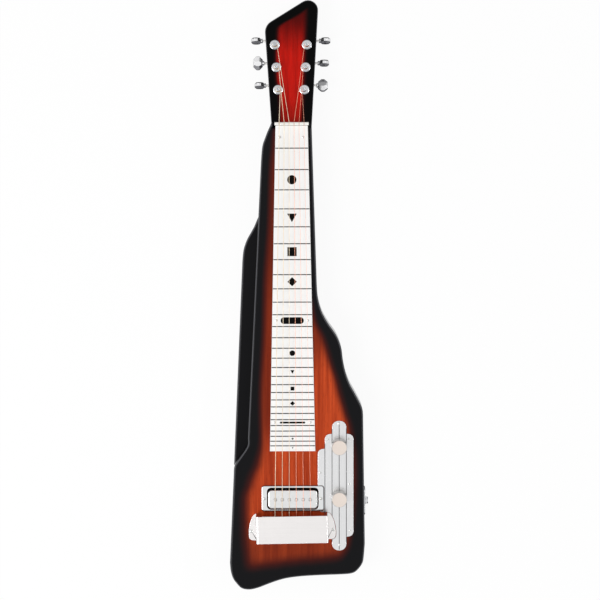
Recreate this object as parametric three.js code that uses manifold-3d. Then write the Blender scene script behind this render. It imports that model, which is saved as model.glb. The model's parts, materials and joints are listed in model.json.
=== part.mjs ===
// Six-string lap steel guitar, lying on its flat back. All lengths are millimetres.
// x runs from the bass side to the treble side, y towards the head, z from the back to the strings.
// The pieces are laid out with the nut's front edge on y = 0 and the middle of the board on x = 0.
// The last lines move the origin to the middle of the guitar's underside.
import * as THREE from 'three';
import { mergeVertices } from 'three/addons/utils/BufferGeometryUtils.js';
import Module from 'manifold-3d';

const wasm = await Module();
wasm.setup();

// Clearances and cutting
const seatGap = 0.1;
const fitGap = 0.3;
const runGap = 0.25;
const overrun = 3;
const weldDistance = 0.0005;
const windingGap = 0.5;
const leastWindingGap = 0.4;

// Scale, board and nut
const scaleLength = 571.5;
const boardFrets = 29;
const fretsPerOctave = 12;
const boardOverhang = 1.54;
const boardThickness = 2;
const boardWidthAtNut = 45.6;
const boardWidthAtEnd = 65.2;
const nutWidth = 48;
const nutThickness = 4.7;
const stringLift = 8.5;
const slotDepth = 1.2;

// Body
const tailLength = 98.4;
const bodyThickness = 44.5;
const ledgeDrop = 22;
const neckHalfWidth = 28.2;
const trebleReach = 103.9;
const bassReach = 91.3;
const edgeRounding = 3.5;
const heelLength = 42;

// Head
const headThickness = 16;
const headTiltDegrees = 4.5;
const headTrebleLength = 183.8;
const headTrebleHalf = 39.3;
const headTipRadius = 14.2;
const headBassLength = 136.2;
const headBassHalf = 37.9;
const headShoulderRadius = 17.8;
const headEdgeRounding = 2;

// Strings, numbered from the thinnest
const stringGauges = [0.36, 0.41, 0.51, 0.66, 0.81, 0.96];
const stringSpacingAtNut = 7;
const stringSpacingAtSaddle = 10.35;
const windingTurns = 1.25;
const ballRadius = 1.9;
const ballLength = 3;

// String posts and their bushings
const postRowStart = 45.4;
const postRowSpacing = 31.6;
const trebleInset = 13;
const bassInset = 12.4;
const postRadius = 3;
const postWaistRadius = 2.5;
const postWaistRise = 4.2;
const postWaistLength = 3.8;
const postCapLength = 3.4;
const postChamfer = 0.5;
const postHoleRadius = 0.8;
const postDimpleRadius = 1.1;
const postDimpleDepth = 1.5;
const bushingWall = 1.3;
const bushingLength = 9;
const washerRadius = 6.9;
const washerThickness = 1;
const bushingNutAcross = 10.5;
const bushingNutThickness = 2.2;

// Worm gear, its housing and the button
const wheelTeeth = 14;
const wheelRadius = 5.2;
const wheelThickness = 3;
const toothHeight = 1.3;
const wormRootRadius = 1.4;
const wormLength = 6.2;
const meshGap = 0.4;
const shaftRadius = 2;
const housingWall = 1.3;
const housingDepth = 10.5;
const housingOuterReach = 9.4;
const housingCorner = 3;
const buttonStart = 17.2;
const buttonLength = 16.2;
const buttonWidth = 19.4;
const buttonThickness = 8;
const buttonBevel = 3;
const buttonBevelInset = 2.4;
const buttonNeckRadius = 3.3;
const buttonNeckLength = 2.2;
const buttonRoof = 4;
const buttonCorner = 2.6;

// Bridge
const saddleLift = 10.5;
const saddleThickness = 3;
const saddleMargin = 4.5;
const bridgeFront = 10;
const bridgeBack = 22;
const bridgeToCoverGap = 5.625;
const bridgeThickness = 1.6;
const lipBehindSaddle = 15;
const lipThickness = 2;
const anchorHeight = 5.2;
const anchorHoleRadius = 1.3;
const anchorMargin = 3;

// Bridge cover
const coverBehindSaddle = 4.4;
const coverShift = -1;
const coverTurnDegrees = 0.9;
const coverWidth = 103.4;
const coverLength = 39.4;
const coverHeight = 26;
const coverWall = 1.2;
const coverBend = 3;
const earReach = 12.3;
const coverScrewHeadRadius = 2.6;
const coverScrewHeadHeight = 1.3;
const coverScrewRadius = 1.4;
const coverScrewLength = 14;

// Pickup
const ringBeforeSaddle = 36.5;
const ringWidth = 90;
const ringLength = 37.3;
const ringHeight = 3;
const ringCorner = 4;
const ringOpeningWidth = 74.3;
const ringOpeningLength = 31.9;
const ringOpeningCorner = 6;
const ringScrewInset = 4.2;
const ringScrewRadius = 1.2;
const ringScrewLength = 12;
const pickupPastRing = 0.5;
const pickupWidth = 70.7;
const pickupLength = 26.5;
const pickupCorner = 5;
const pickupEdge = 1.2;
const pickupRise = 8;
const pickupWall = 0.8;
const pickupPocketDepth = 14;
const pickupPocketMargin = 2;
const poleSpacing = 10;
const poleRadius = 2.2;
const poleBarWidth = 7;
const poleBarThickness = 2;
const magnetWidth = 12;
const magnetThickness = 4;
const bobbinWidth = 18.4;
const bobbinFlange = 1.2;
const bobbinCoreWidth = 7.4;
const bobbinEndMargin = 3;
const coilThickness = 5;

// Control plate, knobs and potentiometers
const plateBeforeSaddle = 149.3;
const plateStep = 19;
const plateBassStep = 21.6;
const plateLength = 189.3;
const plateEndStep = 20.3;
const plateBassEnd = 35.6;
const plateInner = 36;
const stripWidth = 10.27;
const plateThickness = 1.3;
const plateDomeRadius = 9.3;
const plateShoulderRadius = 7.5;
const plateCoveRadius = 2;
const toneKnobBeforeSaddle = 113.5;
const volumeKnobBeforeSaddle = 38.1;
const knobRadius = 10.75;
const knobHeight = 19.5;
const knobGap = 0.6;
const knobChamfer = 0.6;
const knobRoof = 4;
const potRadius = 12;
const potHeight = 9;
const potBushRadius = 4.6;
const potBushRise = 5;
const potShaftRadius = 3;
const potShaftSink = 2;
const cavityMargin = 2;
const cavityDepth = 30;
const channelWidth = 8;

// Jack
const jackBeforeSaddle = 29;
const jackPlateLength = 38;
const jackPlateHeight = 27;
const jackPlateThickness = 1.2;
const jackPlateCorner = 4;
const jackBoreRadius = 3.5;
const jackSleeveRadius = 4.9;
const jackNutRadius = 6;
const jackNutThickness = 2.6;
const jackSleeveProud = 4;
const jackBodyRadius = 8;
const jackBodyLength = 19;
const jackHoleMargin = 1.5;

// How finely curves are cut
const curveSteps = 2;
const cornerSteps = 3;
const roundingSteps = 2;
const roundSides = 20;
const smallSides = 12;
const stringSides = 6;
const windingSteps = 24;
const wormColumns = 8;
const wormRowsPerPitch = 5;

// Body outline: shares of the body's length, and of the way from the neck's edge to the widest reach
const trebleEdgeShares = [
  [0.15, 0.041], [0.293, 0.08], [0.344, 0.095], [0.37, 0.119], [0.396, 0.185], [0.421, 0.304],
  [0.447, 0.461], [0.473, 0.55], [0.498, 0.581], [0.524, 0.626], [0.551, 0.709], [0.576, 0.829],
  [0.602, 0.942], [0.618, 0.965],
];
const bassNeckShares = [
  [0.001, 0.035], [0.013, 0.095], [0.027, 0.153], [0.039, 0.199], [0.052, 0.223], [0.075, 0.243],
];
const bassNotchShares = [
  [0.668, 0.572], [0.685, 0.583], [0.706, 0.722], [0.7245, 0.859], [0.7345, 0.892], [0.748, 0.9],
];
const ledgeStartShares = [
  [0.184, 0.25], [0.199, 0.334], [0.216, 0.412], [0.229, 0.487], [0.242, 0.566], [0.255, 0.623],
  [0.267, 0.658], [0.28, 0.676], [0.293, 0.687],
];
const ledgeEndShares = [[0.7315, 0.903], [0.7455, 0.81]];
const ledgeInnerShare = 0.5;
const heelCurveShares = [[0.2, 0.03], [0.45, 0.16], [0.7, 0.42], [0.88, 0.74]];

// Tail outline: shares of the body's length, and of the treble reach or, below 0, the bass reach
const tailShares = [
  [0.899, 1], [0.932, 0.982], [0.945, 0.957], [0.959, 0.886], [0.965, 0.808], [0.967, 0.666],
  [0.9685, 0.389], [0.971, 0.117], [0.975, -0.095], [0.9805, -0.248], [0.988, -0.401], [0.996, -0.554],
  [1, -0.691], [0.997, -0.815], [0.985, -0.904], [0.974, -0.956], [0.959, -0.987], [0.941, -1],
];

// Ear outline: shares of the cover's length and of the ear's reach
const earShares = [
  [0, 0.04], [0.05, 0.38], [0.216, 0.68], [0.46, 0.905], [0.755, 1], [0.916, 0.93], [0.99, 0.64], [1, 0],
];
const earScrewShare = [0.66, 0.66];

// Gear teeth and thread: shares of the pitch
const toothRootShare = 0.5;
const toothTipShare = 0.24;
const threadFootShare = 0.45;
const threadCrestShare = 0.2;
const buttonShoulderShare = 0.5;
const buttonCrownShare = 0.3;

// How far each button is turned at rest, for the strings in their order
const buttonTurnDegrees = [-30, 76, 76, 76, 22, 76];

// Sizes that follow from those above
const bodyLength = scaleLength + tailLength;
const boardLength = scaleLength * (1 - 2 ** (-boardFrets / fretsPerOctave)) + boardOverhang;
const headTilt = THREE.MathUtils.degToRad(headTiltDegrees);
const coverTurn = THREE.MathUtils.degToRad(coverTurnDegrees);
const boardTop = bodyThickness + seatGap + boardThickness;
const stringHeight = boardTop + stringLift;
const saddleTop = boardTop + saddleLift;
const bridgeTop = bodyThickness + seatGap + bridgeThickness;
const anchorRise = bridgeTop + anchorHeight;
const lipAlong = scaleLength + lipBehindSaddle;
const wheelTip = wheelRadius + toothHeight / 2;
const wheelRoot = wheelRadius - toothHeight / 2;
const wormOffset = wheelTip + meshGap + wormRootRadius;
const wormTipRadius = wormOffset - wheelRoot - meshGap;
const wormPitch = (2 * Math.PI * wheelRadius) / wheelTeeth;
const housingReach = wheelTip + runGap + housingWall;
const housingTop = wormOffset + wormTipRadius + runGap + housingWall;
const housingFloor = housingWall - housingDepth;
const wormDrop = housingFloor / 2;
const bushingBore = postRadius + runGap;
const bushingRadius = bushingBore + bushingWall;
const postTop = headThickness + postWaistRise + postWaistLength + postCapLength;
const ringAlong = scaleLength - ringBeforeSaddle;
const pickupAlong = ringAlong + pickupPastRing;
const plateStart = scaleLength - plateBeforeSaddle;
const toneKnobAlong = scaleLength - toneKnobBeforeSaddle;
const volumeKnobAlong = scaleLength - volumeKnobBeforeSaddle;
const jackAlong = scaleLength - jackBeforeSaddle;
const pickupFloor = bodyThickness - pickupPocketDepth;
const knobOut = plateInner + 3 * stripWidth;
const plateTop = bodyThickness + seatGap + plateThickness;
const canTop = bodyThickness + seatGap - fitGap;
const knobBottom = plateTop + knobGap;
const knobTop = knobBottom + knobHeight;

// Shapes
const flat = (x, y) => new THREE.Vector2(x, y);

function smoothThrough(points) {
  return new THREE.SplineCurve(points).getPoints((points.length - 1) * curveSteps);
}

// Each corner is [x, y, radius]; two radii that don't fit on one side shrink together
function roundedOutline(corners) {
  const turns = corners.map(([x, y, radius = 0], index) => {
    const corner = flat(x, y);
    const before = flat(...corners.at(index - 1)).sub(corner);
    const after = flat(...corners[(index + 1) % corners.length]).sub(corner);
    const halfAngle = before.angleTo(after) / 2;
    return { corner, before, after, halfAngle, run: radius / Math.tan(halfAngle) };
  });
  return turns.flatMap((turn, index) => {
    const fitBefore = turn.before.length() / (turn.run + turns.at(index - 1).run);
    const fitAfter = turn.after.length() / (turn.run + turns[(index + 1) % turns.length].run);
    return turn.run > 0 ? arcAt(turn, turn.run * Math.min(1, fitBefore, fitAfter)) : [turn.corner];
  });
}

function arcAt({ corner, before, after, halfAngle }, run) {
  const back = before.clone().normalize();
  const ahead = after.clone().normalize();
  const toCentre = back.clone().add(ahead).normalize().multiplyScalar(run / Math.cos(halfAngle));
  const centre = corner.clone().add(toCentre);
  const first = corner.clone().addScaledVector(back, run).sub(centre);
  const last = corner.clone().addScaledVector(ahead, run).sub(centre);
  const sweep = Math.atan2(first.cross(last), first.dot(last));
  return Array.from({ length: cornerSteps + 1 }, (_, step) => (
    first.clone().rotateAround(flat(0, 0), (sweep * step) / cornerSteps).add(centre)
  ));
}

function rectangle(width, length, radius = 0) {
  const [x, y] = [width / 2, length / 2];
  return roundedOutline([[x, -y, radius], [x, y, radius], [-x, y, radius], [-x, -y, radius]]);
}

function circle(radius, sides) {
  return Array.from({ length: sides }, (_, side) => {
    const angle = (2 * Math.PI * side) / sides;
    return flat(radius * Math.cos(angle), radius * Math.sin(angle));
  });
}

// Geometries, from z = 0 upwards
function prism(outline, height, { holes = [], bevel = 0, inset = bevel, steps = 1 } = {}) {
  const shape = new THREE.Shape(outline);
  shape.holes = holes.map((hole) => new THREE.Path(hole));
  const geometry = new THREE.ExtrudeGeometry(shape, {
    depth: height - 2 * bevel,
    bevelEnabled: bevel > 0,
    bevelThickness: bevel,
    bevelSize: inset,
    bevelOffset: -inset,
    bevelSegments: steps,
  });
  return geometry.translate(0, 0, bevel);
}

// Profile points are [radius, height]; a profile that never meets the axis closes on itself
function turned(profile, sides = smallSides) {
  const points = profile.map(([radius, height]) => flat(radius, height));
  if (profile.every(([radius]) => radius > 0)) {
    points.push(points[0].clone());
  }
  return new THREE.LatheGeometry(points, sides).rotateX(Math.PI / 2);
}

// A closed skin over rings that have equal numbers of points
function ringSkin(rings) {
  const sides = rings[0].length;
  const index = [];
  for (let ring = 0; ring + 1 < rings.length; ring += 1) {
    for (let side = 0; side < sides; side += 1) {
      const [a, b] = [ring * sides + side, ring * sides + ((side + 1) % sides)];
      index.push(a, b, a + sides, b, b + sides, a + sides);
    }
  }
  const lastRing = (rings.length - 1) * sides;
  for (let side = 1; side + 1 < sides; side += 1) {
    index.push(0, side + 1, side);
    index.push(lastRing, lastRing + side, lastRing + side + 1);
  }
  const geometry = new THREE.BufferGeometry().setFromPoints(rings.flat());
  geometry.setIndex(index);
  return geometry;
}

// A round tube along points, its rings carried from one to the next without twist
function tube(points, radius, sides) {
  const across = new THREE.Vector3(0, 0, 1);
  return ringSkin(points.map((point, index) => {
    const back = points[Math.max(index - 1, 0)];
    const ahead = points[Math.min(index + 1, points.length - 1)];
    const along = ahead.clone().sub(back).normalize();
    across.addScaledVector(along, -across.dot(along)).normalize();
    const aside = along.clone().cross(across);
    return circle(radius, sides).map(({ x, y }) => (
      point.clone().addScaledVector(across, x).addScaledVector(aside, y)
    ));
  }));
}

// Solids
function signedVolume(positions, index) {
  const corners = [0, 1, 2].map(() => new THREE.Vector3());
  let volume = 0;
  for (let face = 0; face < index.length; face += 3) {
    corners.forEach((corner, offset) => corner.fromArray(positions, 3 * index[face + offset]));
    volume += corners[0].dot(corners[1].clone().cross(corners[2]));
  }
  return volume;
}

// Vertices are welded, empty triangles dropped, and a skin that faces inwards is turned
function solid(geometry) {
  const bare = geometry.clone();
  const extras = Object.keys(bare.attributes).filter((name) => name !== 'position');
  extras.forEach((name) => bare.deleteAttribute(name));
  const welded = mergeVertices(bare, weldDistance);
  const positions = welded.attributes.position.array;
  const index = [];
  for (let face = 0; face < welded.index.count; face += 3) {
    const [a, b, c] = welded.index.array.slice(face, face + 3);
    if (a !== b && b !== c && c !== a) {
      index.push(a, b, c);
    }
  }
  if (signedVolume(positions, index) < 0) {
    index.reverse();
  }
  const mesh = new wasm.Mesh({
    numProp: 3,
    vertProperties: new Float32Array(positions),
    triVerts: new Uint32Array(index),
  });
  return new wasm.Manifold(mesh);
}

function join(first, ...others) {
  return others.reduce((whole, other) => whole.add(other), first);
}

function cut(first, ...others) {
  return others.reduce((whole, other) => whole.subtract(other), first);
}

function block(outline, height, options) {
  return solid(prism(outline, height, options));
}

function rod(radius, height, sides = smallSides) {
  return block(circle(radius, sides), height);
}

// Turns a solid so that its height runs along x, or its outline stands upright and it runs back from y = 0
const alongX = (body) => body.rotate(0, 90, 0);
const upright = (body) => body.rotate(90, 0, 0);

function screw(headRadius, headHeight, radius, length) {
  const crown = headRadius / 2;
  return solid(turned([
    [0, -length], [radius, -length], [radius, 0], [headRadius, 0], [headRadius, headHeight / 2],
    [crown, headHeight], [0, headHeight],
  ]));
}

// Materials
function finish(color, roughness, metalness) {
  return new THREE.MeshStandardMaterial({ color, roughness, metalness });
}

const sunburstWood = finish('#a8321c', 0.25, 0);
const whitePlastic = finish('#f4f2ec', 0.35, 0);
const bone = finish('#f1ede2', 0.4, 0);
const blackPlastic = finish('#1a1a1a', 0.45, 0);
const chrome = finish('#d8d9db', 0.12, 1);
const brushedMetal = finish('#dcdcda', 0.35, 1);
const steel = finish('#b9bbbd', 0.3, 1);
const knobMetal = finish('#e2d8cd', 0.35, 1);
const copper = finish('#8a4a2a', 0.5, 0.6);
const magnetGrey = finish('#5a5a5c', 0.6, 0.5);

// The guitar holds everything in its layout; the head's group hinges down about the nut's back edge
const guitar = new THREE.Group();
const layout = new THREE.Group();
const head = new THREE.Group();
guitar.add(layout);
layout.add(head);
head.position.set(0, nutThickness, bodyThickness);
head.rotation.x = -headTilt;
head.updateMatrixWorld(true);

function piece(name, body, material, parent = layout) {
  const source = body.getMesh();
  const geometry = new THREE.BufferGeometry();
  const places = new Float32Array(source.vertProperties);
  geometry.setAttribute('position', new THREE.BufferAttribute(places, source.numProp));
  geometry.setIndex(new THREE.BufferAttribute(new Uint32Array(source.triVerts), 1));
  geometry.computeVertexNormals();
  const mesh = new THREE.Mesh(geometry, material);
  mesh.name = name;
  parent.add(mesh);
  return mesh;
}

// Where strings, posts and screws stand
function headHalfWidth(side, y) {
  const [half, length] = side > 0 ? [headTrebleHalf, headTrebleLength] : [headBassHalf, headBassLength];
  return THREE.MathUtils.lerp(neckHalfWidth, half, y / length);
}

const strings = stringGauges.map((gauge, index) => {
  const middle = (stringGauges.length - 1) / 2;
  const place = middle - index;
  const side = Math.sign(place);
  const postY = postRowStart + (middle - Math.abs(place)) * postRowSpacing;
  const inset = side > 0 ? trebleInset : bassInset;
  return {
    number: index + 1,
    radius: gauge / 2,
    side,
    nutX: place * stringSpacingAtNut,
    saddleX: place * stringSpacingAtSaddle,
    poleX: place * poleSpacing,
    postX: side * (headHalfWidth(side, postY) - inset),
    postY,
    buttonTurn: buttonTurnDegrees[index],
  };
});

const stringSpan = (strings.length - 1) * stringSpacingAtSaddle;
const coverCentre = flat(coverShift, -(scaleLength + coverBehindSaddle));
const ringScrewPlaces = [-1, 1].map((side) => flat(side * (ringWidth / 2 - ringScrewInset), -ringAlong));
const coverScrewPlaces = [-1, 1].map((side) => {
  const [along, out] = earScrewShare;
  const x = side * (coverWidth / 2 - coverWall + out * earReach);
  return flat(x, coverLength / 2 - along * coverLength).rotateAround(flat(0, 0), coverTurn).add(coverCentre);
});

// Body
function trebleEdge([along, out]) {
  return flat(THREE.MathUtils.lerp(neckHalfWidth, trebleReach, out), -along * bodyLength);
}

function bassEdge([along, out]) {
  return flat(-THREE.MathUtils.lerp(neckHalfWidth, bassReach, out), -along * bodyLength);
}

function tailEdge([along, out]) {
  return flat(out * (out > 0 ? trebleReach : bassReach), -along * bodyLength);
}

function upperOutline() {
  return [
    ...smoothThrough([flat(neckHalfWidth, nutThickness), ...trebleEdgeShares.map(trebleEdge)]),
    ...smoothThrough(tailShares.map(tailEdge)),
    ...smoothThrough(bassNotchShares.map(bassEdge)).reverse(),
    ...smoothThrough(bassNeckShares.map(bassEdge)).reverse(),
    flat(-neckHalfWidth, nutThickness),
  ];
}

function ledgeOutline() {
  const edge = [...smoothThrough(ledgeStartShares.map(bassEdge)), ...ledgeEndShares.map(bassEdge)];
  const innerX = -neckHalfWidth * ledgeInnerShare;
  return [...edge, flat(innerX, edge.at(-1).y), flat(innerX, edge[0].y)];
}

function onHead(body) {
  return body.rotate(-headTiltDegrees, 0, 0).translate(0, nutThickness, bodyThickness);
}

function headSlab() {
  const outline = roundedOutline([
    [neckHalfWidth, -2 * nutThickness], [headTrebleHalf, headTrebleLength, headTipRadius],
    [-headBassHalf, headBassLength, headShoulderRadius], [-neckHalfWidth, -2 * nutThickness],
  ]);
  const slab = block(outline, bodyThickness, { bevel: headEdgeRounding, steps: roundingSteps });
  return onHead(slab.translate(0, 0, -bodyThickness));
}

function spaceAboveFace() {
  return block(rectangle(2 * trebleReach, bodyLength), bodyThickness)
    .translate(0, nutThickness - bodyLength / 2, bodyThickness);
}

// The space under the head, with the curve by which the neck's back rises to it
function spaceUnderHead() {
  const heelStart = nutThickness - heelLength;
  const heelTop = bodyThickness - headThickness / Math.cos(headTilt);
  const far = headTrebleLength + heelLength;
  const curve = heelCurveShares.map(([along, rise]) => flat(heelStart + along * heelLength, rise * heelTop));
  const side = [
    flat(heelStart, 0), ...curve, flat(nutThickness, heelTop),
    flat(nutThickness + far, heelTop - far * Math.tan(headTilt)),
    flat(nutThickness + far, -far), flat(heelStart, -far),
  ];
  return block(side, 2 * trebleReach).rotate(90, 0, 90).translate(-trebleReach, 0, 0);
}

function faceHole(radius, depth, place) {
  return rod(radius, depth + overrun, roundSides).translate(place.x, place.y, bodyThickness - depth);
}

function makeBody() {
  const toneAt = flat(knobOut, -toneKnobAlong);
  const volumeAt = flat(knobOut, -volumeKnobAlong);
  const channelDepth = cavityDepth / 2;
  const channel = block(rectangle(channelWidth, volumeKnobAlong - toneKnobAlong), channelDepth + overrun);
  const pocketOutline = rectangle(
    pickupWidth + pickupPocketMargin,
    pickupLength + pickupPocketMargin,
    pickupCorner,
  );
  const pocket = block(pocketOutline, pickupPocketDepth + overrun);
  const jackHole = alongX(rod(jackBodyRadius + jackHoleMargin, trebleReach, roundSides));
  const postHole = rod(bushingRadius + fitGap, headThickness + 2 * overrun)
    .translate(0, 0, -headThickness - overrun);
  const rounded = { bevel: edgeRounding, steps: roundingSteps };
  return cut(
    join(
      block(upperOutline(), bodyThickness, rounded),
      block(ledgeOutline(), bodyThickness - ledgeDrop, rounded),
      headSlab(),
    ),
    spaceAboveFace(),
    spaceUnderHead(),
    faceHole(potRadius + cavityMargin, cavityDepth, toneAt),
    faceHole(potRadius + cavityMargin, cavityDepth, volumeAt),
    channel.translate(knobOut, (toneAt.y + volumeAt.y) / 2, bodyThickness - channelDepth),
    pocket.translate(0, -pickupAlong, pickupFloor),
    jackHole.translate(knobOut - potRadius, -jackAlong, bodyThickness / 2),
    ...strings.map(({ postX, postY }) => onHead(postHole.translate(postX, postY, 0))),
    ...coverScrewPlaces.map((place) => faceHole(coverScrewRadius + fitGap, coverScrewLength, place)),
    ...ringScrewPlaces.map((place) => faceHole(ringScrewRadius + fitGap, ringScrewLength, place)),
  );
}

// Fingerboard and nut
function makeBoard() {
  const outline = [
    flat(boardWidthAtNut / 2, -fitGap), flat(-boardWidthAtNut / 2, -fitGap),
    flat(-boardWidthAtEnd / 2, -boardLength), flat(boardWidthAtEnd / 2, -boardLength),
  ];
  return block(outline, boardThickness).translate(0, 0, bodyThickness + seatGap);
}

function makeNut() {
  const crest = stringHeight + slotDepth;
  const slots = strings.flatMap(({ nutX, radius }) => {
    const half = radius + fitGap;
    const floor = stringHeight - half;
    const [right, left] = [nutX + half, nutX - half];
    return [flat(right, crest), flat(right, floor), flat(left, floor), flat(left, crest)];
  });
  const bottom = bodyThickness + seatGap;
  const outline = [
    flat(nutWidth / 2, bottom), flat(nutWidth / 2, crest), ...slots,
    flat(-nutWidth / 2, crest), flat(-nutWidth / 2, bottom),
  ];
  return upright(block(outline, nutThickness)).translate(0, nutThickness, 0);
}

// Strings: ball behind the lip, over the saddle and through the nut, then round the post
function windingPoints({ radius, side, postX, postY }, from) {
  const wrapRadius = postWaistRadius + fitGap + radius;
  const post = flat(postX, postY);
  const toNut = flat(from.x, from.y).sub(post);
  const sense = -side;
  const start = toNut.angle() + sense * Math.acos(wrapRadius / toNut.length());
  const top = postWaistRise + postWaistLength - fitGap - radius;
  const fall = 2 * radius + windingGap;
  return Array.from({ length: Math.round(windingTurns * windingSteps) + 1 }, (_, step) => {
    const turns = step / windingSteps;
    const angle = start + sense * 2 * Math.PI * turns;
    return new THREE.Vector3(
      postX + wrapRadius * Math.cos(angle),
      postY + wrapRadius * Math.sin(angle),
      top - fall * turns,
    );
  });
}

// The least gap between a winding and itself, from points at least half a turn apart
function selfGap(points, radius) {
  let least = Infinity;
  points.forEach((point, index) => {
    points.slice(index + windingSteps / 2).forEach((other) => {
      least = Math.min(least, point.distanceTo(other) - 2 * radius);
    });
  });
  return least;
}

function makeString(string) {
  const { number, radius, nutX, saddleX } = string;
  const ballStart = -(lipAlong + lipThickness / 2 + fitGap + ballLength);
  const onSaddle = saddleTop + fitGap + radius;
  const nutBack = new THREE.Vector3(nutX, nutThickness, stringHeight);
  const winding = windingPoints(string, head.worldToLocal(nutBack.clone()));
  const gap = selfGap(winding, radius);
  console.log(`string ${number}: least gap in its winding ${gap.toFixed(2)} mm, over ${leastWindingGap}`);
  const route = [
    new THREE.Vector3(saddleX, ballStart + ballLength / 2, anchorRise),
    new THREE.Vector3(saddleX, -(lipAlong - lipThickness), anchorRise),
    new THREE.Vector3(saddleX, -(scaleLength + saddleThickness), onSaddle),
    new THREE.Vector3(saddleX, -scaleLength, onSaddle),
    new THREE.Vector3(nutX, 0, stringHeight),
    nutBack,
    ...winding.map((point) => head.localToWorld(point)),
  ];
  const ball = upright(rod(ballRadius, ballLength)).translate(saddleX, ballStart + ballLength, anchorRise);
  return join(solid(tube(route, radius, stringSides)), ball);
}

// Tuners, laid out for the treble side: x out along the shaft, y to the head's tip, z up the post
function wheelOutline() {
  const pitch = (2 * Math.PI) / wheelTeeth;
  return Array.from({ length: wheelTeeth }, (_, tooth) => {
    const middle = Math.PI / 2 + (tooth + 1 / 2) * pitch;
    const edges = [
      [wheelRoot, -toothRootShare], [wheelTip, -toothTipShare],
      [wheelTip, toothTipShare], [wheelRoot, toothRootShare],
    ];
    return edges.map(([radius, share]) => {
      const angle = middle + (share * pitch) / 2;
      return flat(radius * Math.cos(angle), radius * Math.sin(angle));
    });
  }).flat();
}

// The teeth lean with the worm's thread
function makeWheel() {
  const geometry = prism(wheelOutline(), wheelThickness).translate(0, 0, -wheelThickness / 2);
  const lean = wormPitch / (2 * Math.PI * (wormOffset - wheelRadius)) / wheelRadius;
  const places = geometry.attributes.position;
  for (let index = 0; index < places.count; index += 1) {
    const height = places.getZ(index);
    const place = flat(places.getX(index), places.getY(index)).rotateAround(flat(0, 0), lean * height);
    places.setXYZ(index, place.x, place.y, height);
  }
  return solid(geometry);
}

function makePost() {
  const bottom = housingFloor + runGap;
  const waist = headThickness + postWaistRise;
  const cap = waist + postWaistLength;
  const body = solid(turned([
    [0, bottom], [postRadius, bottom], [postRadius, waist - postChamfer], [postWaistRadius, waist],
    [postWaistRadius, cap], [postRadius, cap + postChamfer], [postRadius, postTop - postChamfer],
    [postRadius - postChamfer, postTop], [0, postTop],
  ]));
  const hole = alongX(rod(postHoleRadius, 4 * postRadius)).translate(-2 * postRadius, 0, (waist + cap) / 2);
  const dimple = rod(postDimpleRadius, postDimpleDepth + overrun).translate(0, 0, postTop - postDimpleDepth);
  return cut(join(body, makeWheel().translate(0, 0, wormDrop)), hole, dimple);
}

function makeBushing() {
  const seat = headThickness + seatGap;
  const washerTop = seat + washerThickness;
  const nut = block(circle(bushingNutAcross / Math.sqrt(3), 6), bushingNutThickness, {
    holes: [circle(bushingBore, smallSides)],
  });
  const sleeve = solid(turned([
    [bushingBore, seat - bushingLength], [bushingRadius, seat - bushingLength], [bushingRadius, seat],
    [washerRadius, seat], [washerRadius, washerTop], [bushingBore, washerTop],
  ]));
  return join(sleeve, nut.translate(0, 0, washerTop));
}

// Thread crests pass the wheel's side, at half a turn round the shaft, where x is a whole pitch
function threadRadius(x, angle) {
  const phase = x / wormPitch - angle / (2 * Math.PI) + 1 / 2;
  const away = 2 * Math.abs(phase - Math.round(phase));
  const rise = (threadFootShare - away) / (threadFootShare - threadCrestShare);
  return THREE.MathUtils.lerp(wormRootRadius, wormTipRadius, THREE.MathUtils.clamp(rise, 0, 1));
}

function makeWormShaft() {
  const plain = (radius) => () => radius;
  const rowCount = Math.round((wormLength / wormPitch) * wormRowsPerPitch);
  const wormRows = Array.from({ length: rowCount + 1 }, (_, row) => [
    wormLength * (row / rowCount - 1 / 2), threadRadius,
  ]);
  const innerEnd = housingWall + runGap - housingReach;
  const outerEnd = buttonStart + buttonLength - buttonRoof - fitGap;
  const wormEnd = wormLength / 2;
  const rows = [
    [innerEnd, plain(wormRootRadius)], [-wormEnd - runGap, plain(wormRootRadius)], ...wormRows,
    [wormEnd + runGap, plain(wormRootRadius)], [wormEnd + 2 * runGap, plain(shaftRadius)],
    [outerEnd, plain(shaftRadius)],
  ];
  return solid(ringSkin(rows.map(([x, radiusAt]) => Array.from({ length: wormColumns }, (_, column) => {
    const angle = (2 * Math.PI * column) / wormColumns;
    const radius = radiusAt(x, angle);
    return new THREE.Vector3(x, radius * Math.cos(angle), radius * Math.sin(angle));
  }))));
}

function makeButton(turnDegrees) {
  const outer = buttonWidth / 2;
  const shoulder = outer * buttonShoulderShare;
  const start = buttonStart + buttonNeckLength;
  const end = buttonStart + buttonLength;
  const middle = (start + end) / 2;
  const crown = (end - start) * buttonCrownShare / 2;
  const side = [[start, shoulder], [middle - crown, outer], [middle + crown, outer], [end, shoulder]];
  const outline = roundedOutline([
    ...side.map(([x, y]) => [x, -y, buttonCorner]),
    ...side.reverse().map(([x, y]) => [x, y, buttonCorner]),
  ]);
  const paddle = block(outline, buttonThickness, { bevel: buttonBevel, inset: buttonBevelInset });
  const neck = alongX(rod(buttonNeckRadius, 2 * buttonNeckLength)).translate(buttonStart, 0, 0);
  const bore = alongX(rod(shaftRadius + fitGap, buttonLength - buttonRoof + overrun))
    .translate(buttonStart - overrun, 0, 0);
  return cut(join(paddle.translate(0, 0, -buttonThickness / 2), neck), bore).rotate(turnDegrees, 0, 0);
}

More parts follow.
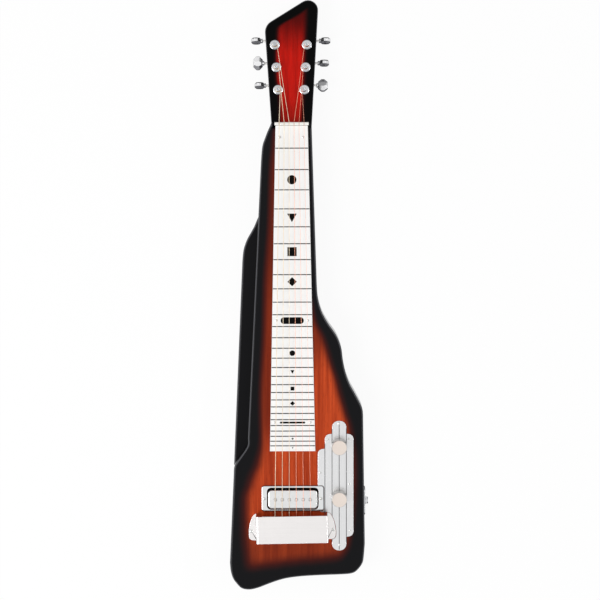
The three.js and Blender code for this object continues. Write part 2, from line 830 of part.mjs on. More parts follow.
function makeHousing() {
  const outline = (wall) => {
    const [x0, x1] = [-housingReach + wall, housingOuterReach - wall];
    const [y0, y1] = [-housingReach + wall, housingTop - wall];
    return roundedOutline([x0, x1, x1, x0].map((x, index) => [x, index < 2 ? y0 : y1, housingCorner - wall]));
  };
  const shell = block(outline(0), housingDepth - seatGap).translate(0, 0, -housingDepth);
  const hollow = block(outline(housingWall), housingDepth + overrun).translate(0, 0, housingFloor);
  const bore = alongX(rod(shaftRadius + runGap, housingOuterReach + overrun))
    .translate(0, wormOffset, wormDrop);
  return cut(shell, hollow, bore);
}

// The bass side's tuners are mirror images, with left-hand worms
function addTuner({ number, side, postX, postY, buttonTurn }) {
  const tuner = new THREE.Group();
  tuner.position.set(postX, postY, -headThickness);
  head.add(tuner);
  const fitted = (part, body, material) => (
    piece(`tuner_${number}_${part}`, body.scale([side, 1, 1]), material, tuner)
  );
  fitted('housing', makeHousing(), chrome);
  fitted('bushing', makeBushing(), chrome);
  fitted('post', makePost(), chrome);
  fitted('worm_shaft', makeWormShaft(), steel).position.set(0, wormOffset, wormDrop);
  fitted('button', makeButton(buttonTurn), chrome).position.set(0, wormOffset, wormDrop);
}

// Bridge
function makeBridgePlate() {
  const length = bridgeFront + bridgeBack;
  const width = coverWidth - 2 * (coverWall + bridgeToCoverGap);
  const base = block(rectangle(width, length), bridgeThickness)
    .translate(0, -(scaleLength - bridgeFront + length / 2), bodyThickness + seatGap);
  const lipHeight = bridgeThickness + anchorHeight + anchorHoleRadius + anchorMargin;
  const lip = block(rectangle(stringSpan + 2 * saddleMargin, lipThickness), lipHeight)
    .translate(0, -lipAlong, bodyThickness + seatGap);
  const hole = upright(rod(anchorHoleRadius, 2 * lipThickness))
    .translate(0, lipThickness - lipAlong, anchorRise);
  return cut(join(base, lip), ...strings.map(({ saddleX }) => hole.translate(saddleX, 0, 0)));
}

function makeSaddle() {
  const bottom = bridgeTop + seatGap;
  return block(rectangle(stringSpan + 2 * saddleMargin, saddleThickness), saddleTop - bottom)
    .translate(0, -(scaleLength + saddleThickness / 2), bottom);
}

// Bridge cover: an open-ended arch with an ear at each foot; grow widens its footprint all round
function earOutline(side, grow) {
  const foot = coverWidth / 2 - coverWall;
  const length = coverLength + 2 * grow;
  const edge = smoothThrough(earShares.map(([along, out]) => (
    flat(side * (foot + out * (earReach + grow) + grow), length / 2 - along * length)
  )));
  return [flat(side * foot, length / 2), ...edge, flat(side * foot, -length / 2)];
}

function placeCover(body) {
  return body.rotate(0, 0, coverTurnDegrees).translate(coverCentre.x, coverCentre.y, bodyThickness + seatGap);
}

function makeCover() {
  const [out, top] = [coverWidth / 2, coverHeight];
  const [innerOut, innerTop, innerBend] = [out - coverWall, top - coverWall, coverBend - coverWall];
  const arch = upright(block(roundedOutline([
    [out, 0], [out, top, coverBend], [-out, top, coverBend], [-out, 0],
    [-innerOut, 0], [-innerOut, innerTop, innerBend], [innerOut, innerTop, innerBend], [innerOut, 0],
  ]), coverLength)).translate(0, coverLength / 2, 0);
  const ears = [-1, 1].map((side) => block(earOutline(side, 0), coverWall));
  const hole = rod(coverScrewRadius + fitGap, coverWall + 2 * overrun)
    .translate(0, 0, bodyThickness - overrun);
  const holes = coverScrewPlaces.map((place) => hole.translate(place.x, place.y, 0));
  return cut(placeCover(join(arch, ...ears)), ...holes);
}

function coverFootprint() {
  const foot = block(rectangle(coverWidth + 2 * fitGap, coverLength + 2 * fitGap), coverHeight);
  return placeCover(join(foot, block(earOutline(1, fitGap), coverHeight)).translate(0, 0, -overrun));
}

// Pickup
function makeRing() {
  const holes = ringScrewPlaces.map(({ x }) => (
    circle(ringScrewRadius + fitGap, smallSides).map((point) => point.add(flat(x, 0)))
  ));
  const opening = rectangle(ringOpeningWidth, ringOpeningLength, ringOpeningCorner);
  return block(rectangle(ringWidth, ringLength, ringCorner), ringHeight, { holes: [opening, ...holes] })
    .translate(0, -ringAlong, bodyThickness + seatGap);
}

function atPoles(body) {
  return strings.map(({ poleX }) => body.translate(poleX, 0, 0));
}

function addPickup() {
  const pickup = new THREE.Group();
  pickup.position.set(0, -pickupAlong, pickupFloor + seatGap);
  layout.add(pickup);
  const coverRise = pickupPocketDepth + pickupRise;
  const roof = coverRise - pickupWall;
  const [innerWidth, innerLength] = [pickupWidth - 2 * pickupWall, pickupLength - 2 * pickupWall];
  const shell = block(rectangle(pickupWidth, pickupLength, pickupCorner), coverRise, { bevel: pickupEdge });
  const hollowOutline = rectangle(innerWidth, innerLength, pickupCorner - pickupWall);
  const hollow = block(hollowOutline, roof + overrun).translate(0, 0, -overrun);
  const roofHole = rod(poleRadius + fitGap, 2 * overrun).translate(0, 0, roof - overrun);
  piece('pickup_cover', cut(shell, hollow, ...atPoles(roofHole)), chrome, pickup);

  const poleSpan = (strings.length - 1) * poleSpacing;
  const barLength = poleSpan + 2 * poleRadius + bobbinEndMargin;
  const barBottom = magnetThickness + fitGap;
  const barTop = barBottom + poleBarThickness;
  piece('pickup_magnet', block(rectangle(barLength, magnetWidth), magnetThickness), magnetGrey, pickup);
  const bar = block(rectangle(barLength, poleBarWidth), poleBarThickness).translate(0, 0, barBottom);
  const pole = rod(poleRadius, coverRise - barBottom).translate(0, 0, barBottom);
  piece('pickup_pole_pieces', join(bar, ...atPoles(pole)), steel, pickup);

  const bobbinBottom = barTop + fitGap;
  const bobbinTop = roof - fitGap;
  const flangeLength = barLength + bobbinWidth - bobbinCoreWidth;
  const flange = block(rectangle(flangeLength, bobbinWidth, pickupCorner), bobbinFlange);
  const core = block(rectangle(barLength, bobbinCoreWidth, bobbinCoreWidth / 3), bobbinTop - bobbinBottom);
  const coreHole = rod(poleRadius + fitGap, bobbinTop).translate(0, 0, bobbinBottom - overrun);
  const bobbin = join(
    core.translate(0, 0, bobbinBottom),
    flange.translate(0, 0, bobbinBottom),
    flange.translate(0, 0, bobbinTop - bobbinFlange),
  );
  piece('pickup_bobbin', cut(bobbin, ...atPoles(coreHole)), blackPlastic, pickup);

  const coilInner = rectangle(barLength + 2 * fitGap, bobbinCoreWidth + 2 * fitGap, bobbinCoreWidth / 3);
  const [coilLength, coilWidth] = [barLength + 2 * coilThickness, bobbinCoreWidth + 2 * coilThickness];
  const coilOuter = rectangle(coilLength, coilWidth, coilThickness);
  const coilBottom = bobbinBottom + bobbinFlange + fitGap;
  const coilHeight = bobbinTop - bobbinFlange - fitGap - coilBottom;
  const coil = block(coilOuter, coilHeight, { holes: [coilInner] }).translate(0, 0, coilBottom);
  piece('pickup_coil', coil, copper, pickup);
}

// Control plate: strips that step up to a dome at each end
function makeControlPlate() {
  const x = Array.from({ length: 6 }, (_, strip) => plateInner + strip * stripWidth);
  const shoulder = plateStart + plateStep;
  const bassShoulder = shoulder + plateBassStep;
  const end = plateStart + plateLength;
  const endShoulder = end - plateEndStep;
  const bassEnd = endShoulder - plateBassEnd;
  const outline = roundedOutline([
    [x[0], -bassShoulder, plateShoulderRadius], [x[1], -bassShoulder, plateCoveRadius],
    [x[1], -shoulder, plateShoulderRadius], [x[2], -shoulder, plateCoveRadius],
    [x[2], -plateStart, plateDomeRadius], [x[4], -plateStart, plateDomeRadius],
    [x[4], -shoulder, plateCoveRadius], [x[5], -shoulder, plateShoulderRadius],
    [x[5], -endShoulder, plateShoulderRadius], [x[4], -endShoulder, plateCoveRadius],
    [x[4], -end, plateDomeRadius], [x[2], -end, plateDomeRadius],
    [x[2], -endShoulder, plateCoveRadius], [x[1], -endShoulder, plateShoulderRadius],
    [x[1], -bassEnd, plateCoveRadius], [x[0], -bassEnd, plateShoulderRadius],
  ]);
  const bottom = bodyThickness + seatGap;
  const ringOutline = rectangle(ringWidth + 2 * fitGap, ringLength + 2 * fitGap, ringCorner);
  const ringFootprint = block(ringOutline, 2 * overrun).translate(0, -ringAlong, bodyThickness - overrun);
  const bushHole = rod(potBushRadius + fitGap, plateThickness + 2 * overrun, roundSides)
    .translate(knobOut, 0, bodyThickness - overrun);
  return cut(
    block(outline, plateThickness).translate(0, 0, bottom),
    ringFootprint,
    coverFootprint(),
    bushHole.translate(0, -toneKnobAlong, 0),
    bushHole.translate(0, -volumeKnobAlong, 0),
  );
}

// Potentiometer and knob, from the top of the can upwards
function makePot() {
  const bore = potShaftRadius + runGap;
  return solid(turned([
    [0, -potHeight], [potRadius, -potHeight], [potRadius, 0], [potBushRadius, 0],
    [potBushRadius, potBushRise], [bore, potBushRise],
    [bore, -potShaftSink - runGap], [0, -potShaftSink - runGap],
  ], roundSides));
}

function makeKnob() {
  const bore = potShaftRadius + fitGap;
  const recess = potBushRadius + knobGap;
  const recessTop = canTop + potBushRise + knobGap - knobBottom;
  return solid(turned([
    [0, knobHeight - knobRoof], [bore, knobHeight - knobRoof], [bore, recessTop], [recess, recessTop],
    [recess, 0], [knobRadius, 0], [knobRadius, knobHeight - knobChamfer],
    [knobRadius - knobChamfer, knobHeight], [0, knobHeight],
  ], roundSides));
}

function addControl(name, along) {
  const control = new THREE.Group();
  control.position.set(knobOut, -along, 0);
  layout.add(control);
  const shaftLength = knobTop - knobRoof - fitGap - canTop + potShaftSink;
  piece(`${name}_pot`, makePot(), steel, control).position.z = canTop;
  const shaft = piece(`${name}_pot_shaft`, rod(potShaftRadius, shaftLength, roundSides), steel, control);
  shaft.position.z = canTop - potShaftSink;
  piece(`${name}_knob`, makeKnob(), knobMetal, control).position.z = knobBottom;
}

// Jack, on the treble edge and facing out along x
function addJack() {
  const edgeStart = trebleEdge(trebleEdgeShares.at(-1));
  const edgeEnd = tailEdge(tailShares[0]);
  const far = -(jackAlong + jackPlateLength / 2);
  const wall = THREE.MathUtils.mapLinear(far, edgeStart.y, edgeEnd.y, edgeStart.x, edgeEnd.x);
  const jack = new THREE.Group();
  jack.position.set(wall + seatGap, -jackAlong, bodyThickness / 2);
  layout.add(jack);
  const plate = block(rectangle(jackPlateHeight, jackPlateLength, jackPlateCorner), jackPlateThickness, {
    holes: [circle(jackSleeveRadius + fitGap, roundSides)],
  });
  piece('jack_plate', alongX(plate), chrome, jack);
  const nutBase = jackPlateThickness + seatGap;
  const nutTop = nutBase + jackNutThickness;
  const socket = solid(turned([
    [jackBoreRadius, -jackBodyLength], [jackBodyRadius, -jackBodyLength], [jackBodyRadius, -fitGap],
    [jackSleeveRadius, -fitGap], [jackSleeveRadius, nutBase], [jackNutRadius, nutBase],
    [jackNutRadius, nutTop], [jackSleeveRadius, nutTop], [jackSleeveRadius, nutBase + jackSleeveProud],
    [jackBoreRadius, nutBase + jackSleeveProud],
  ], roundSides));
  piece('jack_socket', alongX(socket), chrome, jack);
}

// Assembly
piece('body', makeBody(), sunburstWood);
piece('fingerboard', makeBoard(), whitePlastic);
piece('nut', makeNut(), bone);
strings.forEach((string) => {
  piece(`string_${string.number}`, makeString(string), steel);
  addTuner(string);
});
piece('bridge_plate', makeBridgePlate(), chrome);
piece('saddle', makeSaddle(), steel);
piece('bridge_cover', makeCover(), chrome);
piece('pickup_ring', makeRing(), chrome);
addPickup();
['bass', 'treble'].forEach((side, index) => {
  const coverScrew = screw(coverScrewHeadRadius, coverScrewHeadHeight, coverScrewRadius, coverScrewLength);
  const coverAt = coverScrewPlaces[index];
  const coverSeat = bodyThickness + coverWall + 2 * seatGap;
  piece(`cover_screw_${side}`, coverScrew, chrome).position.set(coverAt.x, coverAt.y, coverSeat);
});
piece('control_plate', makeControlPlate(), brushedMetal);
addControl('tone', toneKnobAlong);
addControl('volume', volumeKnobAlong);
addJack();

// The origin moves to the middle of the underside
guitar.updateMatrixWorld(true);
const bounds = new THREE.Box3().setFromObject(layout, true);
const middle = bounds.getCenter(new THREE.Vector3());
layout.position.set(-middle.x, -middle.y, -bounds.min.z);
guitar.updateMatrixWorld(true);

export default guitar;
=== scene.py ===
"""Looks of a six-string lap steel guitar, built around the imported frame. Blender 4.5, metres.

Sizes are written in millimetres, and a mesh turns into metres as it becomes an object. u runs from the
strings' middle line to the treble side, v from the nut's front edge to the tail, z up from the flat back.
"""
import json
import math
from functools import cache

import bmesh
import bpy
from mathutils import Matrix, Vector


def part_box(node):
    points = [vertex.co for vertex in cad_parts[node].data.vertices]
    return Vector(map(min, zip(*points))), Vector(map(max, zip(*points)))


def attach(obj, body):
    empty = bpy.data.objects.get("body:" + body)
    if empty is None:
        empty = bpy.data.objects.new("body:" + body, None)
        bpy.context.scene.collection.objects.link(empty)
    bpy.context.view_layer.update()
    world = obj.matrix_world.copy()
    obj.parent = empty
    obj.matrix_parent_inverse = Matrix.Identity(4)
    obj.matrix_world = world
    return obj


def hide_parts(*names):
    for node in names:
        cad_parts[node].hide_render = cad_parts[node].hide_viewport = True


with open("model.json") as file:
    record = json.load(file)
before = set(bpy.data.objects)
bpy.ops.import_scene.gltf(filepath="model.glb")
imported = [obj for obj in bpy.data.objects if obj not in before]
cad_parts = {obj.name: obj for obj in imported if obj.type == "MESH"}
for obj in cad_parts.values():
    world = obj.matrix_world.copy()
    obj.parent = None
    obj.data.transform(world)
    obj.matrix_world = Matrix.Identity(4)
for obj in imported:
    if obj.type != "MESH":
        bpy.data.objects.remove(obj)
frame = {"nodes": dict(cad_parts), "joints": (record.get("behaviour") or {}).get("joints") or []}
nodes = frame["nodes"]
joints = {joint["name"]: joint for joint in frame["joints"]}
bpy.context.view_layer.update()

MM = 0.001
SCALE_LENGTH = 571.5
HEAD_TILT = math.radians(4.5)
HEAD_THICKNESS = 16
NUT_THICKNESS = 4.7
NECK_HALF = 28.2
BOARD_GAP = 0.3
TAU = 2 * math.pi
STRINGS = range(1, 7)
SIDES = ((-1, "bass"), (1, "treble"))

# Turns for meshes drawn flat: z to the treble side; y up and z to the tail; a section (y, z) raised along x
Z_TO_X = Matrix.Rotation(math.pi / 2, 4, "Y")
UPRIGHT = Matrix.Rotation(math.pi / 2, 4, "X")
STANDING = Matrix(((0, 0, 1, 0), (1, 0, 0, 0), (0, 1, 0, 0), (0, 0, 0, 1)))


def box_mm(node):
    low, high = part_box(node)
    return low / MM, high / MM


board_low, board_high = box_mm("fingerboard")
body_low, body_high = box_mm("body")
MIDDLE = (board_low.x + board_high.x) / 2
NUT_FRONT = board_high.y + BOARD_GAP
FACE = body_high.z
BODY_LENGTH = NUT_FRONT - body_low.y
TREBLE_REACH = body_high.x - MIDDLE
BASS_REACH = MIDDLE - body_low.x
BOARD_TOP = board_high.z


def at(u, v, z=0.0):
    """A point of the frame, in millimetres."""
    return Vector((MIDDLE + u, NUT_FRONT - v, z))


def flat(u, v):
    return at(u, v).to_2d()


def place_at(u, v, z):
    return Matrix.Translation(at(u, v, z))


# Camera, fitted to the photograph's fret lines and board edges; its place is (u, v, z)
CAMERA_PLACE = (11.93, -40.17, 2813.4)
CAMERA_TURN_DEGREES = (-5.941, 0.0, -0.157)
CAMERA_FOCAL_PIXELS = 1953.5
PHOTO_PIXELS = 600
SENSOR = 36.0


def make_camera():
    data = bpy.data.cameras.new("camera")
    data.sensor_width = SENSOR
    data.sensor_fit = "HORIZONTAL"
    data.lens = CAMERA_FOCAL_PIXELS * SENSOR / PHOTO_PIXELS
    data.clip_end = 20.0
    camera = bpy.data.objects.new("camera", data)
    camera.location = at(*CAMERA_PLACE) * MM
    camera.rotation_euler = [math.radians(turn) for turn in CAMERA_TURN_DEGREES]
    bpy.context.scene.collection.objects.link(camera)
    bpy.context.scene.camera = camera


# Node materials
def tone(hex_color):
    """A linear colour from the sRGB hex that it shows as."""
    channels = [int(hex_color[i:i + 2], 16) / 255 for i in (0, 2, 4)]
    linear = [c / 12.92 if c <= 0.04045 else ((c + 0.055) / 1.055) ** 2.4 for c in channels]
    return (*linear, 1.0)


def dulled(hex_color, share):
    """The colour at a share of its light."""
    return (*(c * share for c in tone(hex_color)[:3]), 1.0)


class Nodes:
    """A short hand for shader nodes, fed with numbers, hex colours or the outputs of other nodes."""

    def __init__(self, name):
        self.material = bpy.data.materials.new(name)
        self.material.use_nodes = True
        self.tree = self.material.node_tree
        self.shader = self.tree.nodes["Principled BSDF"]
        coordinates = self.add("TexCoord")
        self.place = coordinates.outputs["Object"]
        self.normal = coordinates.outputs["Normal"]

    def add(self, kind):
        return self.tree.nodes.new(f"ShaderNode{kind}")

    def feed(self, socket, value):
        if isinstance(value, bpy.types.NodeSocket):
            self.tree.links.new(value, socket)
        elif value is not None:
            socket.default_value = tone(value) if isinstance(value, str) else value

    def math(self, operation, *values):
        node = self.add("Math")
        node.operation = operation
        for socket, value in zip(node.inputs, values):
            self.feed(socket, value)
        return node.outputs[0]

    def times(self, a, b):
        return self.math("MULTIPLY", a, b)

    def line(self, value, slope, start):
        """The value times the slope, plus the start."""
        return self.math("MULTIPLY_ADD", value, slope, start)

    def ramp(self, value, low, high):
        """0 at low, 1 at high, smooth between."""
        node = self.add("MapRange")
        node.interpolation_type = "SMOOTHSTEP"
        for name, given in (("Value", value), ("From Min", low), ("From Max", high)):
            self.feed(node.inputs[name], given)
        return node.outputs["Result"]

    def mix(self, share, first, second):
        node = self.add("Mix")
        node.data_type = "RGBA"
        for name, given in (("Factor", share), ("A", first), ("B", second)):
            self.feed(node.inputs[name], given)
        return node.outputs["Result"]

    def shade(self, color, share, most, other):
        """The colour, turned to the other by the share times the most."""
        return self.mix(self.times(share, most), color, other)

    def parts(self, vector):
        node = self.add("SeparateXYZ")
        self.feed(node.inputs[0], vector)
        return node.outputs

    def stretched(self, scale, vector=None):
        node = self.add("Mapping")
        self.feed(node.inputs["Vector"], vector or self.place)
        node.inputs["Scale"].default_value = scale
        return node.outputs[0]

    def noise(self, scale, detail=3.0, vector=None):
        node = self.add("TexNoise")
        self.feed(node.inputs["Vector"], vector or self.place)
        for name, given in (("Scale", scale), ("Detail", detail), ("Roughness", 0.55)):
            self.feed(node.inputs[name], given)
        return node.outputs["Fac"]

    def curve(self, value, points):
        """A smooth curve through given points, both axes in metres, over the whole guitar."""
        low_x, high_x = points[0][0], points[-1][0]
        low_y = min(y for _, y in points)
        high_y = max(y for _, y in points)
        unit = self.add("MapRange")
        for name, given in (("Value", value), ("From Min", low_x), ("From Max", high_x)):
            self.feed(unit.inputs[name], given)
        node = self.add("FloatCurve")
        line = node.mapping.curves[0]
        shares = [((x - low_x) / (high_x - low_x), (y - low_y) / (high_y - low_y)) for x, y in points]
        line.points[0].location = shares[0]
        line.points[1].location = shares[-1]
        for share in shares[1:-1]:
            line.points.new(*share)
        for point in line.points:
            point.handle_type = "AUTO_CLAMPED"
        node.mapping.update()
        self.feed(node.inputs["Value"], unit.outputs["Result"])
        return self.line(node.outputs[0], high_y - low_y, low_y)

    def bump(self, height, distance):
        node = self.add("Bump")
        node.inputs["Strength"].default_value = 1.0
        node.inputs["Distance"].default_value = distance
        self.feed(node.inputs["Height"], height)
        self.feed(self.shader.inputs["Normal"], node.outputs[0])

    def surface(self, color, roughness, metallic=None, **others):
        sockets = {"Base Color": color, "Roughness": roughness, "Metallic": metallic, **others}
        for name, value in sockets.items():
            self.feed(self.shader.inputs[name.replace("_", " ")], value)
        return self.material


def metal(name, color, roughness, spread, grain, stretch=(1, 1, 1), bump=0.0, worn=0.88):
    """Metal whose tone and gloss vary a little along a noise of that grain."""
    kit = Nodes(name)
    cloud = kit.noise(grain, 4.0, kit.stretched(stretch))
    smear = kit.noise(90.0, 2.0)
    rough = kit.line(kit.math("ADD", cloud, smear), spread, roughness - spread)
    if bump:
        kit.bump(cloud, bump)
    return kit.surface(kit.mix(cloud, dulled(color, worn), color), rough, 1.0)


def chrome(name, low, high, painted_head_reflection="94969a", painted_tail_shade="3a3a3e", painted_treble_shade=0.0, roughness=0.07):
    """Polished chrome with painted light: bright where it lies flat, a painted grey reflection on faces
    towards the head, painted dark shade on faces towards the tail and, by a share, towards the treble side.
    """
    kit = Nodes(name)
    out, along, _ = kit.parts(kit.normal)
    level = kit.mix(kit.noise(40.0, 4.0), low, high)
    upper = kit.mix(kit.ramp(along, 0.25, 0.65), level, painted_head_reflection)
    # Painted shade: faces turned towards the tail, and by a share towards the treble side, go dark
    away = kit.times(kit.ramp(out, 0.12, 0.5), painted_treble_shade)
    away = kit.math("MAXIMUM", kit.ramp(along, -0.12, -0.5), away)
    rough = kit.line(kit.noise(90.0, 2.0), 0.05, roughness)
    dim = (0.12, 0.12, 0.12, 1.0)
    return kit.surface(kit.mix(away, upper, painted_tail_shade), rough, 1.0, Specular_Tint=dim)


def plastic(name, color, roughness, spread=0.12, depth=0.00001, specular=0.5):
    """Plastic with a fine speckle of that depth."""
    kit = Nodes(name)
    cloud = kit.noise(35.0, 3.0)
    kit.bump(kit.noise(900.0, 2.0), depth)
    rough = kit.line(cloud, spread, roughness)
    return kit.surface(kit.mix(cloud, dulled(color, 0.96), color), rough, Specular_IOR_Level=specular)


def grooved(name, pitch, color, dark, roughness):
    """Metal wound with fine wire: a wave along the guitar at the wire's pitch."""
    kit = Nodes(name)
    _, y, _ = kit.parts(kit.place)
    kit.bump(kit.math("SINE", kit.times(y, TAU / (pitch * MM))), 0.00006)
    return kit.surface(kit.mix(kit.noise(60.0, 3.0), dark, color), roughness, 1.0)


# The sunburst: where red gives way to black on each side, as (v, u) along the guitar
RED_BASS_EDGE = [
    (-176, 44), (-161, 20.5), (-150, 2.3), (-142, -13), (-134, -20), (-120, -21), (-100, -23), (-70, -22.5),
    (-40, -18), (-12, -17), (10, -24), (34, -26), (48, -27.5), (70, -29), (105, -30.3), (140, -31.8),
    (176, -34.5), (215, -37.3), (255, -38.6), (300, -39.8), (340, -42), (375, -43.8), (410, -44.3),
    (450, -44), (480, -47.5), (500, -54.5), (515, -59.5), (545, -66), (580, -66), (615, -63.5), (660, -57),
]
RED_TREBLE_EDGE = [
    (-176, 19), (-150, 19.5), (-120, 19), (-95, 18.5), (-70, 17.5), (-40, 16), (-12, 14.5), (20, 15),
    (200, 16), (255, 26), (275, 30), (300, 41), (320, 47.5), (340, 53.5), (360, 60.5), (385, 67), (410, 74),
    (440, 82), (500, 87), (560, 84), (590, 80), (610, 76), (660, 62),
]
RED_TAIL_EDGE = [
    (-91.3, 632), (-60, 632), (-30, 629), (0, 626), (25, 623), (55, 621), (66, 618), (80, 608), (103.9, 595),
]
TAIL_FADE = 0.018
# The body's red darkens towards the neck's bass side, across a line that falls by this much in v for 1 in u
DARK_SLANT = 1.6


def fade_down(kit, y, start, end):
    """0 up to the start, 1 from the end on, both counted from the nut to the tail."""
    return kit.ramp(y, (NUT_FRONT - start) * MM, (NUT_FRONT - end) * MM)


def red_depth(kit, x, y, head):
    """How far inside the red field a point lies, in widths of the fade at the nearest edge."""
    across = kit.noise(26.0, 2.0, kit.stretched((1.0, 0.06, 1.0)))
    drift = kit.line(across, 0.006, -0.003)
    bass = kit.curve(y, [((NUT_FRONT - v) * MM, (MIDDLE + u) * MM) for v, u in reversed(RED_BASS_EDGE)])
    treble = kit.curve(y, [((NUT_FRONT - v) * MM, (MIDDLE + u) * MM) for v, u in reversed(RED_TREBLE_EDGE)])
    tail = kit.curve(x, [((MIDDLE + u) * MM, (NUT_FRONT - v) * MM) for u, v in RED_TAIL_EDGE])
    least_fade = kit.line(head, -0.0025, 0.009)
    bass_fade = kit.line(fade_down(kit, y, 440, 500), 0.009, least_fade)
    treble_fade = kit.line(fade_down(kit, y, 260, 330), 0.004, least_fade)
    depths = []
    for inner, outer, fade in ((x, bass, bass_fade), (treble, x, treble_fade), (y, tail, TAIL_FADE)):
        depth = kit.math("SUBTRACT", kit.math("ADD", inner, drift), outer)
        depths.append(kit.math("DIVIDE", depth, fade))
    depth = kit.math("SMOOTH_MIN", depths[0], depths[1], 1.0)
    return kit.math("SMOOTH_MIN", depth, depths[2], 1.0)


def wood_grain(kit, x, y, z):
    """Broad bands with narrow streaks, and short dark pores, all along the guitar."""
    bent = kit.add("CombineXYZ")
    waved = kit.math("ADD", x, kit.times(kit.noise(4.0, 2.0), 0.01))
    for socket, value in zip(bent.inputs, (waved, y, z)):
        kit.feed(socket, value)
    bands, streaks, pores = [
        kit.noise(scale, detail, kit.stretched((1.0, stretch, 1.0), bent.outputs[0]))
        for scale, detail, stretch in ((85.0, 2.0, 0.035), (420.0, 3.0, 0.022), (1500.0, 2.0, 0.06))
    ]
    grain = kit.line(bands, 0.6, kit.times(streaks, 0.4))
    return kit.ramp(grain, 0.34, 0.66), kit.ramp(pores, 0.56, 0.72)


def body_red(kit, x, y, grain, pores):
    red = kit.shade(kit.mix(grain, "9a3218", "ca4e26"), pores, 0.35, "561608")
    slant = kit.math("SUBTRACT", kit.times(x, DARK_SLANT), y)
    slant_start = (DARK_SLANT * MIDDLE - NUT_FRONT) * MM
    dark = kit.ramp(slant, slant_start + 0.43, slant_start + 0.35)
    dark = kit.times(dark, kit.line(fade_down(kit, y, 170, 300), -0.23, 0.9))
    return kit.shade(kit.mix(dark, red, "5a1c10"), fade_down(kit, y, 550, 615), 0.6, "5e2214")


def head_red(kit, y, grain):
    # Painted shade: the head's red darkens over the last 45 mm towards the nut
    red = kit.shade(kit.mix(grain, "a0140c", "cc1c12"), fade_down(kit, y, -45, -10), 0.55, "86140a")
    return kit.shade(red, fade_down(kit, y, -95, -155), 0.88, "3c0404")


def sunburst():
    """Glossy lacquer: mahogany grain under a red field that fades through brown to black, with a painted grey
    highlight along the rounded edges.
    """
    kit = Nodes("sunburst_lacquer")
    x, y, z = kit.parts(kit.place)
    top = kit.parts(kit.normal)[2]
    head = kit.ramp(y, (NUT_FRONT + NUT_THICKNESS / 2) * MM, (NUT_FRONT + NUT_THICKNESS) * MM)
    above = kit.math("MAXIMUM", head, kit.ramp(z, (FACE - 3) * MM, (FACE - 1) * MM))
    red_share = kit.times(kit.ramp(red_depth(kit, x, y, head), -1.0, 1.0), kit.ramp(top, 0.55, 0.9))
    red_share = kit.times(red_share, above)
    grain, pores = wood_grain(kit, x, y, z)
    red = kit.mix(head, body_red(kit, x, y, grain, pores), head_red(kit, y, grain))
    # Painted shade: the head's black is darker than the body's, for the tilted head that mirrors less light
    black = kit.mix(head, "151517", "010101")
    brown = kit.mix(head, "441814", "300606")
    dark_side = kit.mix(kit.ramp(red_share, 0.0, 0.5), black, brown)
    color = kit.mix(kit.ramp(red_share, 0.3, 1.0), dark_side, red)
    # Painted highlight: faces on the rounded edges turn towards grey, for the light that they mirror
    painted_edge_highlight = kit.times(kit.ramp(top, 0.25, 0.6), kit.ramp(top, 0.97, 0.8))
    color = kit.shade(color, painted_edge_highlight, 0.8, "5a5a5e")
    kit.bump(kit.noise(260.0, 2.0), 0.000012)
    rough = kit.line(kit.noise(55.0, 3.0), 0.05, 0.1)
    return kit.surface(color, rough, Specular_IOR_Level=0.05)


def make_materials():
    return {
        "burst": sunburst(),
        "board": plastic("board_white", "fbfbfa", 0.34),
        "ink": plastic("board_black", "060606", 0.6, specular=0.05),
        "bone": plastic("nut_white", "fbf9f4", 0.3),
        # Chrome with painted reflection and shade, set by which way each face turns
        "chrome": chrome("polished_chrome", "c2c4c8", "d6d8da"),
        "pickup": metal("pickup_chrome", "e4e4e4", 0.2, 0.1, 240.0, bump=0.00004, worn=0.9),
        "plate": metal("brushed_plate", "dfdfe0", 0.26, 0.08, 700.0, (1.0, 0.02, 1.0), 0.00002, 0.9),
        "groove": plastic("groove_painted_shade", "303234", 0.6),
        "cover": metal("cover_satin", "e9e6e5", 0.24, 0.06, 600.0, (0.02, 1.0, 1.0), 0.00001, 0.95),
        "knob": plastic("knob_cream", "e5d8ce", 0.45, 0.1, 0.00004),
        "knob_side": metal("knob_side", "c9c6c2", 0.3, 0.08, 500.0, bump=0.00004),
        "steel": metal("plain_steel", "d4d2d0", 0.24, 0.06, 200.0),
        "wound": grooved("wound_steel", 0.32, "fff2dc", "f0d8b4", 0.35),
        # The plain strings' salmon tone is steel with a painted reflection of the red lacquer
        "wire": metal("string_steel_painted_red_reflection", "f4ac90", 0.3, 0.06, 200.0),
        "fastener": metal("screw_nickel", "d0d0ce", 0.22, 0.08, 300.0),
        "black": plastic("moulded_black", "16161a", 0.5),
        # The ring's chrome takes painted dark shade on faces towards the tail and the treble side
        "frame_metal": chrome("ring_chrome", "d8dadc", "e8e8e8", painted_tail_shade="26262a", painted_treble_shade=0.9),
        # The buttons' chrome takes a painted grey reflection towards the head and painted shade towards the
        # tail
        "button": chrome("button_chrome", "d2d2d4", "ececec", "8e8e90", "7a7a7e", roughness=0.3),
        "copper": metal("coil_copper", "9a5636", 0.4, 0.1, 900.0, (0.05, 0.05, 1.0), 0.00004),
        "magnet": metal("cast_magnet", "5c5c5e", 0.55, 0.1, 500.0, bump=0.00005, worn=0.7),
    }


# Meshes, in millimetres until they become pieces
def ring_mesh(rings, closed=False):
    """Rings of equal length become a skin, with caps unless it closes; each ring is a list of vectors."""
    mesh = bmesh.new()
    rows = [[mesh.verts.new(point) for point in ring] for ring in rings]
    pairs = list(zip(rows, rows[1:] + rows[:1] if closed else rows[1:]))
    sides = len(rows[0])
    for low, high in pairs:
        for side in range(sides):
            after = (side + 1) % sides
            mesh.faces.new((low[side], low[after], high[after], high[side]))
    if not closed:
        mesh.faces.new(list(reversed(rows[0])))
        mesh.faces.new(rows[-1])
    return mesh


